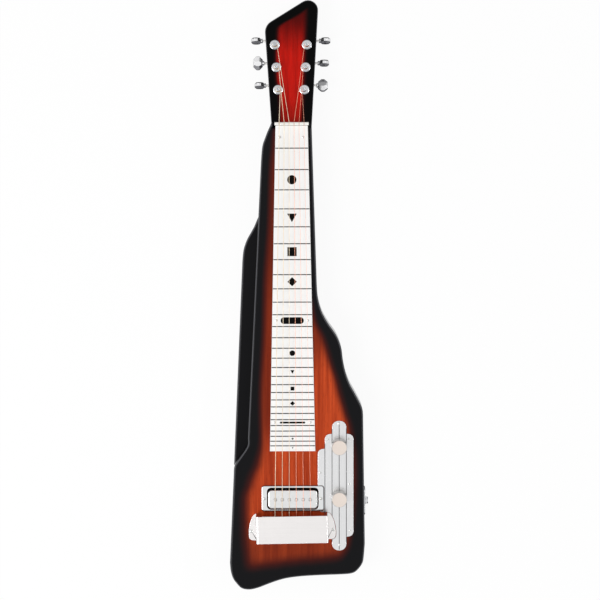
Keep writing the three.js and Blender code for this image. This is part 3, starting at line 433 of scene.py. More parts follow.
def offset(points, distance):
    """An outline moved inwards by a distance, along its mitred corners."""
    moved = []
    count = len(points)
    for index, point in enumerate(points):
        before = (point - points[index - 1]).normalized()
        after = (points[(index + 1) % count] - point).normalized()
        inward = Vector((-before.y - after.y, before.x + after.x))
        length = inward.length
        if length < 1e-6:
            moved.append(point.copy())
            continue
        inward /= length
        spread = max(0.35, abs(inward.dot(Vector((-before.y, before.x)))))
        moved.append(point + inward * (distance / spread))
    return moved


def turned_left(points):
    """The outline in counter-clockwise order."""
    area = sum(a.x * b.y - b.x * a.y for a, b in zip(points, points[1:] + points[:1]))
    return points if area > 0 else list(reversed(points))


def slab(outline, low, high, top_round=0.0, bottom_round=0.0, steps=5):
    """An outline raised from low to high, its edges rounded by a radius or by (inwards, along z)."""
    outline = turned_left(outline)
    rings = []
    for base, sign, rounding in ((low, 1, bottom_round), (high, -1, top_round)):
        inward, rise = rounding if isinstance(rounding, tuple) else (rounding, rounding)
        count = steps if inward else 0
        half = []
        for step in range(count + 1):
            angle = math.pi / 2 * (1 - step / max(count, 1)) if count else 0.0
            shape = offset(outline, inward * (1 - math.cos(angle))) if inward else outline
            z = base + sign * rise * (1 - math.sin(angle))
            half.append([Vector((p.x, p.y, z)) for p in shape])
        rings += half if sign > 0 else reversed(half)
    return ring_mesh(rings)


def lathe(profile, sides=40, shape=None):
    """A profile of (radius, height) turned about z. A profile off the axis closes on itself."""
    closed = all(radius > 0 for radius, _ in profile)
    rings = []
    for radius, z in profile:
        ring = []
        for side in range(sides):
            angle = TAU * side / sides
            reach = max(shape(radius, z, angle) if shape else radius, 0.01)
            ring.append(Vector((reach * math.cos(angle), reach * math.sin(angle), z)))
        rings.append(ring)
    return ring_mesh(rings, closed=closed)


def rod(radius, low, high, sides=40):
    return lathe([(0, low), (radius, low), (radius, high), (0, high)], sides)


def soft_profile(profile, radius, steps=3):
    """The profile with its corners rounded."""
    points = [Vector(p) for p in profile]
    rounded = [points[0]]
    for before, corner, after in zip(points, points[1:], points[2:]):
        back = before - corner
        ahead = after - corner
        run = min(radius, back.length / 2.2, ahead.length / 2.2)
        start = corner + back.normalized() * run
        end = corner + ahead.normalized() * run
        for step in range(steps + 1):
            t = step / steps
            rounded.append(start * (1 - t) ** 2 + corner * 2 * t * (1 - t) + end * t ** 2)
    rounded.append(points[-1])
    return [tuple(p) for p in rounded]


def corner_arc(corners, steps=6):
    """Corners [x, y, radius] as an outline with arcs."""
    outline = []
    points = [Vector((x, y)) for x, y, _ in corners]
    count = len(points)
    for index, (_, _, radius) in enumerate(corners):
        corner = points[index]
        back = points[index - 1] - corner
        ahead = points[(index + 1) % count] - corner
        if radius <= 0:
            outline.append(corner)
            continue
        half = back.angle(ahead) / 2
        run = min(radius / math.tan(half), back.length * 0.9, ahead.length * 0.9)
        toward = (back.normalized() + ahead.normalized()).normalized()
        centre = corner + toward * (run / math.cos(half))
        first = corner + back.normalized() * run - centre
        last = corner + ahead.normalized() * run - centre
        sweep = math.atan2(first.x * last.y - first.y * last.x, first.dot(last))
        for step in range(steps + 1):
            turn = Matrix.Rotation(sweep * step / steps, 2)
            outline.append(centre + turn @ first)
    return outline


def rectangle(width, length, radius, centre=(0.0, 0.0), steps=6):
    x, y = width / 2, length / 2
    corners = [[x, -y, radius], [x, y, radius], [-x, y, radius], [-x, -y, radius]]
    return [p + Vector(centre) for p in corner_arc(corners, steps)]


def circle(radius, sides=32):
    turns = [TAU * side / sides for side in range(sides)]
    return [Vector((radius * math.cos(turn), radius * math.sin(turn))) for turn in turns]


def spline(points, steps=6):
    """A Catmull-Rom curve through points, as the part's own outlines use."""
    points = [Vector(p) for p in points]
    out = []
    last = len(points) - 1
    for index in range(last):
        a, b = points[max(index - 1, 0)], points[index]
        c, d = points[index + 1], points[min(index + 2, last)]
        for step in range(steps):
            t = step / steps
            v0, v1 = (c - a) / 2, (d - b) / 2
            cubic = (2 * b - 2 * c + v0 + v1) * t ** 3
            square = (-3 * b + 3 * c - 2 * v0 - v1) * t ** 2
            out.append(cubic + square + v0 * t + b)
    out.append(points[-1])
    return out


def tube(points, radius, sides=10):
    """A round tube along points, with its rings carried on without twist."""
    rings = []
    across = Vector((0, 0, 1))
    last = len(points) - 1
    for index, point in enumerate(points):
        along = (points[min(index + 1, last)] - points[max(index - 1, 0)]).normalized()
        across = (across - along * across.dot(along)).normalized()
        aside = along.cross(across)
        ring = []
        for side in range(sides):
            angle = TAU * side / sides
            ring.append(point + across * radius * math.cos(angle) + aside * radius * math.sin(angle))
        rings.append(ring)
    return ring_mesh(rings)


def merged(*meshes):
    """Several meshes in one."""
    whole = bmesh.new()
    for mesh in meshes:
        data = bpy.data.meshes.new("part")
        mesh.to_mesh(data)
        mesh.free()
        whole.from_mesh(data)
        bpy.data.meshes.remove(data)
    return whole


def moved(mesh, matrix):
    bmesh.ops.transform(mesh, matrix=matrix, verts=mesh.verts)
    if matrix.determinant() < 0:
        bmesh.ops.reverse_faces(mesh, faces=mesh.faces)
    return mesh


def shifted(mesh, x=0.0, y=0.0, z=0.0):
    return moved(mesh, Matrix.Translation((x, y, z)))


def mesh_object(name, mesh):
    """A bmesh in millimetres becomes an object in metres."""
    bmesh.ops.scale(mesh, vec=(MM, MM, MM), verts=mesh.verts)
    bmesh.ops.recalc_face_normals(mesh, faces=mesh.faces)
    data = bpy.data.meshes.new(name)
    mesh.to_mesh(data)
    mesh.free()
    thing = bpy.data.objects.new(name, data)
    bpy.context.scene.collection.objects.link(thing)
    return thing


def apply_modifiers(thing):
    graph = bpy.context.evaluated_depsgraph_get()
    graph.update()
    data = bpy.data.meshes.new_from_object(thing.evaluated_get(graph))
    thing.modifiers.clear()
    thing.data = data
    return thing


def carve(thing, cutters, operation="DIFFERENCE"):
    """Cuts or joins other objects into this one and removes them."""
    for cutter in cutters:
        modifier = thing.modifiers.new("carve", "BOOLEAN")
        modifier.operation = operation
        modifier.object = cutter
        modifier.solver = "EXACT"
    apply_modifiers(thing)
    for cutter in cutters:
        bpy.data.objects.remove(cutter)
    return thing


def carved(mesh, *cutters):
    """A mesh in millimetres with others cut out of it."""
    thing = carve(mesh_object("solid", mesh), [mesh_object("cutter", cutter) for cutter in cutters])
    mesh = bmesh.new()
    mesh.from_mesh(thing.data)
    bmesh.ops.scale(mesh, vec=(1 / MM, 1 / MM, 1 / MM), verts=mesh.verts)
    bpy.data.objects.remove(thing)
    return mesh


def finish_edges(thing, width=0.0, angle=35):
    """A small bevel on sharp edges, then normals weighted by face."""
    if width:
        bevel = thing.modifiers.new("bevel", "BEVEL")
        bevel.width = width * MM
        bevel.segments = 3
        bevel.limit_method = "ANGLE"
        bevel.angle_limit = math.radians(angle)
        apply_modifiers(thing)
    thing.data.shade_smooth()
    thing.data.set_sharp_from_angle(angle=math.radians(angle))
    weighted = thing.modifiers.new("weighted", "WEIGHTED_NORMAL")
    weighted.keep_sharp = True
    weighted.weight = 100
    return apply_modifiers(thing)


def piece(name, mesh, material, body="root", replaces=(), bevel=0.0, angle=35, cutters=()):
    """A finished piece: carved, bevelled, painted, and riding on its body."""
    thing = mesh if isinstance(mesh, bpy.types.Object) else mesh_object(name, mesh)
    thing.name = name
    if cutters:
        carve(thing, [mesh_object("cutter", cutter) for cutter in cutters])
    finish_edges(thing, bevel, angle=angle)
    thing.data.materials.clear()
    thing.data.materials.append(MATERIALS[material])
    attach(thing, body)
    if replaces:
        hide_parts(*replaces)
    return thing


# Body outline: the same shares as the solid's, of the body's length and of the way to the widest reach
TREBLE_SHARES = [
    (0.15, 0.041), (0.293, 0.08), (0.344, 0.095), (0.37, 0.119), (0.396, 0.185), (0.421, 0.304),
    (0.447, 0.461), (0.473, 0.55), (0.498, 0.581), (0.524, 0.626), (0.551, 0.709), (0.576, 0.829),
    (0.602, 0.942), (0.618, 0.965),
]
BASS_NECK_SHARES = [
    (0.001, 0.035), (0.013, 0.095), (0.027, 0.153), (0.039, 0.199), (0.052, 0.223), (0.075, 0.243),
]
BASS_NOTCH_SHARES = [
    (0.668, 0.572), (0.685, 0.583), (0.706, 0.722), (0.7245, 0.859), (0.7345, 0.892), (0.748, 0.9),
]
LEDGE_START_SHARES = [
    (0.184, 0.25), (0.199, 0.334), (0.216, 0.412), (0.229, 0.487), (0.242, 0.566), (0.255, 0.623),
    (0.267, 0.658), (0.28, 0.676), (0.293, 0.687),
]
LEDGE_END_SHARES = [(0.7315, 0.903), (0.7455, 0.81)]
TAIL_SHARES = [
    (0.899, 1), (0.932, 0.982), (0.945, 0.957), (0.959, 0.886), (0.965, 0.808), (0.967, 0.666),
    (0.9685, 0.389), (0.971, 0.117), (0.975, -0.095), (0.9805, -0.248), (0.988, -0.401), (0.996, -0.554),
    (1, -0.691), (0.997, -0.815), (0.985, -0.904), (0.974, -0.956), (0.959, -0.987), (0.941, -1),
]
HEEL_SHARES = [(0, 0), (0.2, 0.03), (0.45, 0.16), (0.7, 0.42), (0.88, 0.74), (1, 1)]
EDGE_ROUND = 3.5
HEAD_EDGE_ROUND = 2
LEDGE_DROP = 22
HEEL_LENGTH = 42
HEAD_TREBLE = (39.3, 183.8, 14.2)
HEAD_BASS = (37.9, 136.2, 17.8)

# Places and rooms in the body shared by several pieces
HEAD_PLACE = place_at(0, -NUT_THICKNESS, FACE) @ Matrix.Rotation(-HEAD_TILT, 4, "X")
HEAD_BACK = HEAD_PLACE.inverted()
RING_V = SCALE_LENGTH - 36.5
PICKUP_V = RING_V + 0.5
KNOB_U = 66.8
KNOB_V = (458.0, 533.4)
JACK_V = 542.5
SEATED = FACE + 0.1
POCKET_SIZE, POCKET_DEPTH = (73.9, 31.5, 5.8), 14
POT_ROOM_RADIUS, POT_ROOM_DEPTH = 14, 30
JACK_ROOM_RADIUS, JACK_ROOM_START = 9.5, KNOB_U + 12
POST_BORE_RADIUS = 5.2


def treble_edge(share):
    along, out = share
    return flat(NECK_HALF + (TREBLE_REACH - NECK_HALF) * out, along * BODY_LENGTH)


def bass_edge(share):
    along, out = share
    return flat(-(NECK_HALF + (BASS_REACH - NECK_HALF) * out), along * BODY_LENGTH)


def tail_edge(share):
    along, out = share
    return flat(out * (TREBLE_REACH if out > 0 else BASS_REACH), along * BODY_LENGTH)


def without_doubles(points, least=0.05):
    kept = [points[0]]
    for point in points[1:]:
        if (point - kept[-1]).length > least:
            kept.append(point)
    return kept


def body_outline():
    return without_doubles([
        *spline([flat(NECK_HALF, -NUT_THICKNESS), *map(treble_edge, TREBLE_SHARES)]),
        *spline(map(tail_edge, TAIL_SHARES)),
        *reversed(spline(map(bass_edge, BASS_NOTCH_SHARES))),
        *reversed(spline(map(bass_edge, BASS_NECK_SHARES))),
        flat(-NECK_HALF, -NUT_THICKNESS),
    ])


def ledge_outline():
    edge = [*spline(map(bass_edge, LEDGE_START_SHARES)), *map(bass_edge, LEDGE_END_SHARES)]
    inner = MIDDLE - NECK_HALF / 2
    return [*edge, Vector((inner, edge[-1].y)), Vector((inner, edge[0].y))]


def head_outline():
    half, length, radius = HEAD_TREBLE
    bass_half, bass_length, bass_radius = HEAD_BASS
    start = -2 * NUT_THICKNESS
    return corner_arc([
        [NECK_HALF, start, 0], [half, length, radius], [-bass_half, bass_length, bass_radius],
        [-NECK_HALF, start, 0],
    ], 8)


def under_neck():
    """The room behind the head and the neck's heel, as a block to cut away."""
    heel_start = NUT_THICKNESS - HEEL_LENGTH
    heel_top = FACE - HEAD_THICKNESS / math.cos(HEAD_TILT)
    far = HEAD_TREBLE[1] + HEEL_LENGTH
    curve = spline([(heel_start + along * HEEL_LENGTH, rise * heel_top) for along, rise in HEEL_SHARES], 5)
    side = [
        *curve, (NUT_THICKNESS + far, heel_top - far * math.tan(HEAD_TILT)), (NUT_THICKNESS + far, -far),
        (heel_start - 20, -far), (heel_start - 20, -0.001),
    ]
    block = slab([Vector(point) for point in side], -TREBLE_REACH, TREBLE_REACH)
    return moved(block, Matrix.Translation((MIDDLE, NUT_FRONT, 0)) @ STANDING)


def body_cutters():
    pocket = slab(rectangle(*POCKET_SIZE, flat(0, RING_V)), FACE - POCKET_DEPTH, FACE + 5)
    pots = [shifted(rod(POT_ROOM_RADIUS, -POT_ROOM_DEPTH, 5), *at(KNOB_U, v, FACE)) for v in KNOB_V]
    jack = moved(rod(JACK_ROOM_RADIUS, 0, 32), place_at(JACK_ROOM_START, JACK_V, FACE / 2) @ Z_TO_X)
    posts = [moved(rod(POST_BORE_RADIUS, -3, 20, 24), tuner_matrix(number)) for number in STRINGS]
    return [under_neck(), pocket, *pots, jack, *posts]


def make_body():
    body = mesh_object("body_lacquer", slab(body_outline(), 0, FACE, EDGE_ROUND, EDGE_ROUND))
    shelf = mesh_object("shelf", slab(ledge_outline(), 0, FACE - LEDGE_DROP, EDGE_ROUND, EDGE_ROUND))
    head = moved(slab(head_outline(), -FACE, 0, HEAD_EDGE_ROUND), HEAD_PLACE)
    over = slab(rectangle(2 * TREBLE_REACH, BODY_LENGTH, 0), FACE, 2 * FACE)
    shifted(over, MIDDLE, NUT_FRONT + NUT_THICKNESS - BODY_LENGTH / 2)
    head = carve(mesh_object("head", head), [mesh_object("cutter", over)])
    carve(body, [shelf, head], "UNION")
    piece("body_lacquer", body, "burst", replaces=["body"], cutters=body_cutters())


# Screws with a cross recess
@cache
def screw_head(radius, height):
    """A domed head, made once for each size and then copied."""
    crown = [(0, -0.6), (radius * 0.7, -0.6), (radius, 0), (radius, height * 0.3)]
    dome = []
    for step in range(1, 7):
        angle = step / 6 * 1.35
        dome.append((radius * math.cos(angle), height * (0.3 + 0.7 * math.sin(angle))))
    arms = []
    for turn in (0.4, 0.4 + math.pi / 2):
        arm = slab(rectangle(radius * 1.3, radius * 0.3, 0), height * 0.35, height * 3)
        arms.append(moved(arm, Matrix.Rotation(turn, 4, "Z")))
    return carved(lathe([*crown, *dome, (0, height)], 28), *arms)


def add_screw(name, place, radius=1.9, height=0.7, replaces=()):
    """A screw head with its underside at the place's origin, its axis along the place's z."""
    head = moved(screw_head(radius, height).copy(), place)
    piece(name, head, "fastener", replaces=replaces, angle=30)


# Fingerboard, its lines and markers, and the nut
BOARD_LENGTH = board_high.y - board_low.y + BOARD_GAP
BOARD_HALF_AT_NUT = 22.8
BOARD_HALF_AT_END = 32.6
INK_HEIGHT = 0.12
FRET_LINE_INSET = 0.4
NUT_PIN_U, NUT_PIN_V = 14.2, -1.3
FRET_LINES = 28
FRET_LINE_WIDTH = 1.3
STRING_HEIGHT = BOARD_TOP + 8.5
GAUGES = [0.36, 0.41, 0.51, 0.66, 0.81, 0.96]
NUT_SPACING = 7.0
SADDLE_SPACING = 10.35
POLE_SPACING = 10.0
FIT_GAP = 0.3
BOARD_SCREWS = [(16.5, 16.5), (22.4, 277.1), (25.8, 424.2)]


def fret_along(number):
    return SCALE_LENGTH * (1 - 2 ** (-number / 12))


def between_frets(number):
    return (fret_along(number - 1) + fret_along(number)) / 2


def board_half(v):
    return BOARD_HALF_AT_NUT + (BOARD_HALF_AT_END - BOARD_HALF_AT_NUT) * v / BOARD_LENGTH


def diamond(width, length):
    x, y = width / 2, length / 2
    return [Vector(point) for point in ((x, 0), (0, y), (-x, 0), (0, -y))]


def pointer(width, length):
    """A triangle that points to the tail."""
    x, y = width / 2, length / 2
    return [Vector(point) for point in ((-x, y), (0, -y), (x, y))]


MARKERS = {
    3: circle(6.5), 5: pointer(13.5, 12), 7: rectangle(13, 12.8, 0.1), 9: diamond(13.2, 13),
    12: rectangle(33, 9.6, 4.7), 15: circle(4), 17: pointer(5.8, 5.2), 19: rectangle(5.5, 5.5, 0.1),
    21: diamond(7, 6.6), 24: rectangle(36.5, 2.7, 1.3), 27: diamond(3.4, 3.2), 29: pointer(2.2, 2),
}


def inlay(outline):
    return slab(outline, BOARD_TOP - 0.1, BOARD_TOP + INK_HEIGHT)


def add_fingerboard():
    outline = [
        flat(BOARD_HALF_AT_NUT, BOARD_GAP), flat(-BOARD_HALF_AT_NUT, BOARD_GAP),
        flat(-BOARD_HALF_AT_END, BOARD_LENGTH), flat(BOARD_HALF_AT_END, BOARD_LENGTH),
    ]
    piece("fingerboard_top", slab(outline, board_low.z, BOARD_TOP, 0.35, steps=3), "board",
          replaces=["fingerboard"])
    lines = []
    for number in range(1, FRET_LINES + 1):
        along = fret_along(number)
        length = 2 * board_half(along) - 2 * FRET_LINE_INSET
        lines.append(inlay(rectangle(length, FRET_LINE_WIDTH, 0, flat(0, along))))
    piece("fret_lines", merged(*lines), "ink")
    for number, shape in MARKERS.items():
        centre = flat(0, between_frets(number))
        piece(f"marker_{number}", inlay([p + centre for p in shape]), "ink")
    for row, (out, along) in enumerate(BOARD_SCREWS, 1):
        for side, name in SIDES:
            add_screw(f"board_screw_{row}_{name}", place_at(side * out, along, BOARD_TOP), 1.8, 0.5)


def add_nut():
    low, high = box_mm("nut")
    crest = high.z
    half = NUT_THICKNESS / 2
    section = corner_arc([
        [half - 0.2, low.z, 0], [half - 0.2, crest, 1.6], [0.2 - half, crest, 1.6], [0.2 - half, low.z, 0],
    ], 5)
    bar = slab(section, low.x, high.x, 0.5, 0.5, 3)
    moved(bar, Matrix.Translation((0, NUT_FRONT + half, 0)) @ STANDING)
    slots = []
    for number, gauge in enumerate(GAUGES, 1):
        wide = gauge / 2 + FIT_GAP
        slot = rectangle(2 * wide, 2 * NUT_THICKNESS, 0, flat(string_u(number, NUT_SPACING), -half))
        slots.append(slab(slot, STRING_HEIGHT - wide, crest + 2))
    piece("nut_bar", bar, "bone", replaces=["nut"], cutters=slots)
    for side, name in SIDES:
        pin = lathe([(0, -1), (0.55, -1), (0.55, 0.12), (0.35, 0.25), (0, 0.25)], 16)
        moved(pin, place_at(side * NUT_PIN_U, NUT_PIN_V, crest - 0.1))
        piece(f"nut_pin_{name}", pin, "fastener")


# Strings
STRING_TURNS, TURN_STEPS, TURN_GAP = 1.25, 32, 0.5
POST_RADIUS, WAIST_RADIUS, WAIST_START, WAIST_LENGTH = 3, 2.5, 4.2, 3.8
LIP_V = SCALE_LENGTH + 15
BASE_THICKNESS, BALL_RISE = 1.6, 5.2
BALL_Z = SEATED + BASE_THICKNESS + BALL_RISE


def string_u(number, spacing):
    return (3.5 - number) * spacing


def winding(number, nut_back, radius):
    """The turns of a string down its post's waist, from where it comes off the nut."""
    post = HEAD_BACK @ (Vector(joints[f"post_{number}_turn"]["pos_m"]) / MM)
    wrap = WAIST_RADIUS + FIT_GAP + radius
    to_nut = (HEAD_BACK @ nut_back - post).to_2d()
    sense = -tuner_side(number)
    start = math.atan2(to_nut.y, to_nut.x) + sense * math.acos(wrap / to_nut.length)
    top = WAIST_START + WAIST_LENGTH - FIT_GAP - radius
    points = []
    for step in range(int(STRING_TURNS * TURN_STEPS) + 1):
        angle = start + sense * TAU * step / TURN_STEPS
        height = top - (2 * radius + TURN_GAP) * step / TURN_STEPS
        place = Vector((post.x + wrap * math.cos(angle), post.y + wrap * math.sin(angle), height))
        points.append(HEAD_PLACE @ place)
    return points


def string_route(number):
    """Ball, lip, saddle and nut, then the turns on the post."""
    radius = GAUGES[number - 1] / 2
    saddle_u, nut_u = string_u(number, SADDLE_SPACING), string_u(number, NUT_SPACING)
    saddle_z = BOARD_TOP + 10.5 + FIT_GAP + radius
    nut_back = at(nut_u, -NUT_THICKNESS, STRING_HEIGHT)
    return [
        at(saddle_u, LIP_V + 2.8, BALL_Z), at(saddle_u, LIP_V - 2, BALL_Z),
        at(saddle_u, SCALE_LENGTH + 3, saddle_z), at(saddle_u, SCALE_LENGTH, saddle_z),
        at(nut_u, 0, STRING_HEIGHT), nut_back, *winding(number, nut_back, radius),
    ]


def add_strings():
    for number, gauge in enumerate(GAUGES, 1):
        route = string_route(number)
        ball = lathe(soft_profile([(0, -1.5), (1.9, -1.5), (1.3, 0), (1.9, 1.5), (0, 1.5)], 0.5), 24)
        moved(ball, Matrix.Translation(route[0]) @ UPRIGHT)
        look = "wound" if number > 3 else "wire"
        piece(f"wire_{number}", merged(tube(route, gauge / 2), ball), look,
              replaces=[f"string_{number}"], angle=60)


# Tuners, each in its own frame: x out to the button, y to the head's tip, z up the post, 0 at the head's back
WHEEL_TEETH, WHEEL_RADIUS, TOOTH = 14, 5.2, 0.65
WORM_ROOT, WORM_TIP, WORM_LENGTH = 1.4, 2.7, 6.2
WORM_PITCH = TAU * WHEEL_RADIUS / WHEEL_TEETH
WORM_OFFSET, WORM_DROP = 7.65, -4.6
HOUSING_FLOOR, HOUSING_BACK, HOUSING_WALL = -9.2, -10.5, 1.3
SEAT = HEAD_THICKNESS + 0.1
BUSH_BORE = 3.25
BUTTON_START, BUTTON_END, BUTTON_HALF, BUTTON_CROWN = 19.4, 33.4, 9.7, 2.1
# The facets of a button as (height, share of its length, share of its width)
BUTTON_FACETS = ((-4.4, 0.68, 0.36), (-1.9, 1, 1), (1.9, 1, 1), (4.4, 0.68, 0.36))
BUTTON_TURNS = [-30, 84, 84, 84, 10, 84]


def tuner_side(number):
    return 1 if number <= 3 else -1


def tuner_matrix(number):
    place = Vector(joints[f"post_{number}_turn"]["pos_m"]) / MM
    mirror = Matrix.Scale(tuner_side(number), 4, (1, 0, 0))
    return Matrix.Translation(place) @ Matrix.Rotation(-HEAD_TILT, 4, "X") @ mirror


def hexagon(across_flats):
    return circle(across_flats / math.sqrt(3), 6)


def gear_wheel():
    flanks = ((-TOOTH, -0.5), (-0.1, -0.36), (TOOTH, -0.2), (TOOTH, 0.2), (-0.1, 0.36), (-TOOTH, 0.5))
    outline = []
    for tooth in range(WHEEL_TEETH):
        middle = math.pi / 2 + (tooth + 0.5) * TAU / WHEEL_TEETH
        for rise, share in flanks:
            angle = middle + share * TAU / (2 * WHEEL_TEETH)
            reach = WHEEL_RADIUS + rise
            outline.append(Vector((reach * math.cos(angle), reach * math.sin(angle))))
    return slab(outline, WORM_DROP - 1.5, WORM_DROP + 1.5)


def thread_radius(x, angle):
    """The worm's radius at a place along it and round it."""
    phase = x / WORM_PITCH - angle / TAU + 0.5
    rise = (0.45 - 2 * abs(phase - round(phase))) / 0.25
    return WORM_ROOT + (WORM_TIP - WORM_ROOT) * min(1.0, max(0.0, rise))


def worm_shaft():
    """Rings along x; those without a radius of their own carry the worm's thread."""
    rows = [(-5.85, WORM_ROOT), (-3.35, WORM_ROOT)]
    rows += [(step / 8 - WORM_LENGTH / 2, None) for step in range(50)]
    rows += [(3.35, WORM_ROOT), (3.6, 2.0), (9.6, 2.0), (9.8, 1.8), (16.9, 1.8), (17.1, 2.0), (28.0, 2.0)]
    rings = []
    for x, radius in rows:
        ring = []
        for column in range(24):
            angle = TAU * column / 24
            reach = radius or thread_radius(x, angle)
            ring.append(Vector((x, reach * math.cos(angle), reach * math.sin(angle))))
        rings.append(ring)
    return shifted(ring_mesh(rings), 0, WORM_OFFSET, WORM_DROP)


def button(turn):
    """A facetted oval paddle on a turned neck."""
    middle, shoulder = (BUTTON_START + BUTTON_END) / 2, BUTTON_HALF / 2
    side = [
        (BUTTON_START, shoulder), (middle - BUTTON_CROWN, BUTTON_HALF), (middle + BUTTON_CROWN, BUTTON_HALF),
        (BUTTON_END, shoulder),
    ]
    outline = corner_arc([[x, -y, 2.6] for x, y in side] + [[x, y, 2.6] for x, y in reversed(side)], 5)
    rings = []
    for z, along, across in BUTTON_FACETS:
        rings.append([Vector((middle + (p.x - middle) * along, p.y * across, z)) for p in outline])
    neck = soft_profile([(0, 17.2), (2.6, 17.2), (3.3, 18), (3.0, 19.4), (3.6, 21.5), (0, 21.5)], 0.5)
    whole = merged(ring_mesh(rings), moved(lathe(neck, 28), Z_TO_X))
    turned = Matrix.Rotation(math.radians(turn), 4, "X")
    return moved(whole, Matrix.Translation((0, WORM_OFFSET, WORM_DROP)) @ turned)


def tuner_case():
    """The housing, open towards the head, with the worm shaft's bore in its side."""
    outlines = []
    for inset, radius in ((0, 3), (HOUSING_WALL, 1.7)):
        low, right, top = inset - 7.4, 9.4 - inset, 11.9 - inset
        corners = ((low, low), (right, low), (right, top), (low, top))
        outlines.append(corner_arc([[x, y, radius] for x, y in corners], 6))
    case = slab(outlines[0], HOUSING_BACK, -0.1, 0, 1.2, 4)
    hollow = slab(outlines[1], HOUSING_FLOOR, 3)
    bore = moved(rod(2.25, 0, 14, 24), Matrix.Translation((0, WORM_OFFSET, WORM_DROP)) @ Z_TO_X)
    return carved(case, hollow, bore)


def tuner_bush():
    """A round washer with its tube, under a hexagonal nut."""
    washer = lathe(soft_profile([
        (BUSH_BORE, 7.2), (4.55, 7.2), (4.55, SEAT), (6.9, SEAT), (6.8, SEAT + 0.4), (6.0, SEAT + 0.85),
        (5.0, SEAT + 1.0), (BUSH_BORE, SEAT + 1.0),
    ], 0.25), 48)
    nut = slab(hexagon(10.5), SEAT + 1.0, SEAT + 3.2, (0.5, 0.35), steps=3)
    return merged(washer, carved(nut, rod(BUSH_BORE, 10, 22, 32)))


def string_post():
    waist = HEAD_THICKNESS + WAIST_START
    return lathe(soft_profile([
        (0, -8.95), (POST_RADIUS, -8.95), (POST_RADIUS, waist - 0.5), (WAIST_RADIUS, waist),
        (WAIST_RADIUS, waist + WAIST_LENGTH), (POST_RADIUS, waist + WAIST_LENGTH + 0.5),
        (POST_RADIUS, 27), (2.6, 27.4), (1.25, 27.4), (1.0, 26.2), (0, 25.9),
    ], 0.2), 36)


def add_tuner(number):
    place = tuner_matrix(number)
    name = f"tuner_{number}"
    post, knob = f"post_{number}", f"button_{number}"
    piece(f"{name}_case", moved(tuner_case(), place), "chrome",
          replaces=[f"{name}_housing"], bevel=0.15)
    under = Matrix.Rotation(math.pi, 4, "X")
    for spot, (x, y) in enumerate(((-4.4, 8.9), (6.4, -4.4)), 1):
        head = place @ Matrix.Translation((x, y, HOUSING_BACK + 0.05)) @ under
        add_screw(f"{name}_case_screw_{spot}", head, 1.4, 0.6)
    piece(f"{name}_bush", moved(tuner_bush(), place), "chrome", replaces=[f"{name}_bushing"])
    middle = Matrix.Translation((0, 0, HEAD_THICKNESS + WAIST_START + WAIST_LENGTH / 2))
    string_hole = moved(rod(0.8, -6, 6, 16), place @ middle @ Z_TO_X)
    piece(f"{name}_string_post", moved(string_post(), place), "chrome", post, [f"{name}_post"],
          cutters=[string_hole])
    piece(f"{name}_wheel", moved(gear_wheel(), place), "steel", post, angle=25)
    piece(f"{name}_worm", moved(worm_shaft(), place), "steel", knob,
          [f"{name}_worm_shaft"], angle=50)
    piece(f"{name}_knob", moved(button(BUTTON_TURNS[number - 1]), place), "button", knob,
          [f"{name}_button"], bevel=0.3, angle=20)


# Bridge, with the lip that holds the balls of the strings
LIP_THICKNESS, LIP_WIDTH, LIP_OVERLAP, LIP_TOP = 2, 60.75, 0.4, 11.1
BASE_SIZE = (89.75, 32, 2.5)
BRIDGE_SCREWS = ((-38, -5), (38, -5), (-38, 17), (38, 17))


def add_bridge():
    base_top = SEATED + BASE_THICKNESS
    lip_low, lip_high = base_top - LIP_OVERLAP, SEATED + LIP_TOP
    half = LIP_THICKNESS / 2
    lip = slab(rectangle(LIP_WIDTH, lip_high - lip_low, 1.5), -half, half, 0.3, 0.3, 2)
    shifted(moved(lip, UPRIGHT), *at(0, LIP_V, (lip_low + lip_high) / 2))
    holes = []
    for number in STRINGS:
        hole = moved(rod(1.3, -4, 4, 20), UPRIGHT)
        holes.append(shifted(hole, *at(string_u(number, SADDLE_SPACING), LIP_V, BALL_Z)))
    base = slab(rectangle(*BASE_SIZE, flat(0, SCALE_LENGTH + 6)), SEATED, base_top, 0.4)
    piece("bridge_lip", lip, "plate", cutters=holes)
    piece("bridge_base", base, "plate", replaces=["bridge_plate"])
    for spot, (u, v) in enumerate(BRIDGE_SCREWS, 1):
        add_screw(f"bridge_screw_{spot}", place_at(u, SCALE_LENGTH + v, base_top), 2.0, 0.8)
    low, high = box_mm("saddle")
    section = corner_arc([[1.5, low.z, 0], [1.5, high.z, 1.3], [-1.5, high.z, 1.3], [-1.5, low.z, 0]], 5)
    bar = slab(section, low.x, high.x, 0.4, 0.4, 3)
    moved(bar, Matrix.Translation((0, (low.y + high.y) / 2, 0)) @ STANDING)
    piece("saddle_bar", bar, "steel", replaces=["saddle"])


COVER_WIDTH, COVER_LENGTH, COVER_HEIGHT, COVER_WALL = 103.4, 39.4, 26, 1.2
COVER_SHIFT, COVER_PAST_SADDLE, COVER_TURN = -1, 4.4, math.radians(0.9)
COVER_PLACE = (place_at(COVER_SHIFT, SCALE_LENGTH + COVER_PAST_SADDLE, SEATED)
               @ Matrix.Rotation(COVER_TURN, 4, "Z"))
CLEARANCE = 0.3
EAR_REACH = 12.3
EAR_SCREW_SHARE = (0.66, 0.66)
EAR_SHARES = [
    (0, 0.04), (0.05, 0.38), (0.216, 0.68), (0.46, 0.905), (0.755, 1), (0.916, 0.93), (0.99, 0.64), (1, 0),
]


def ear(side, grow=0.0):
    foot = COVER_WIDTH / 2 - COVER_WALL
    length = COVER_LENGTH + 2 * grow
    edge = spline([(side * (foot + out * (EAR_REACH + grow) + grow), length / 2 - along * length)
                   for along, out in EAR_SHARES], 4)
    return [Vector((side * foot, length / 2)), *edge, Vector((side * foot, -length / 2))]


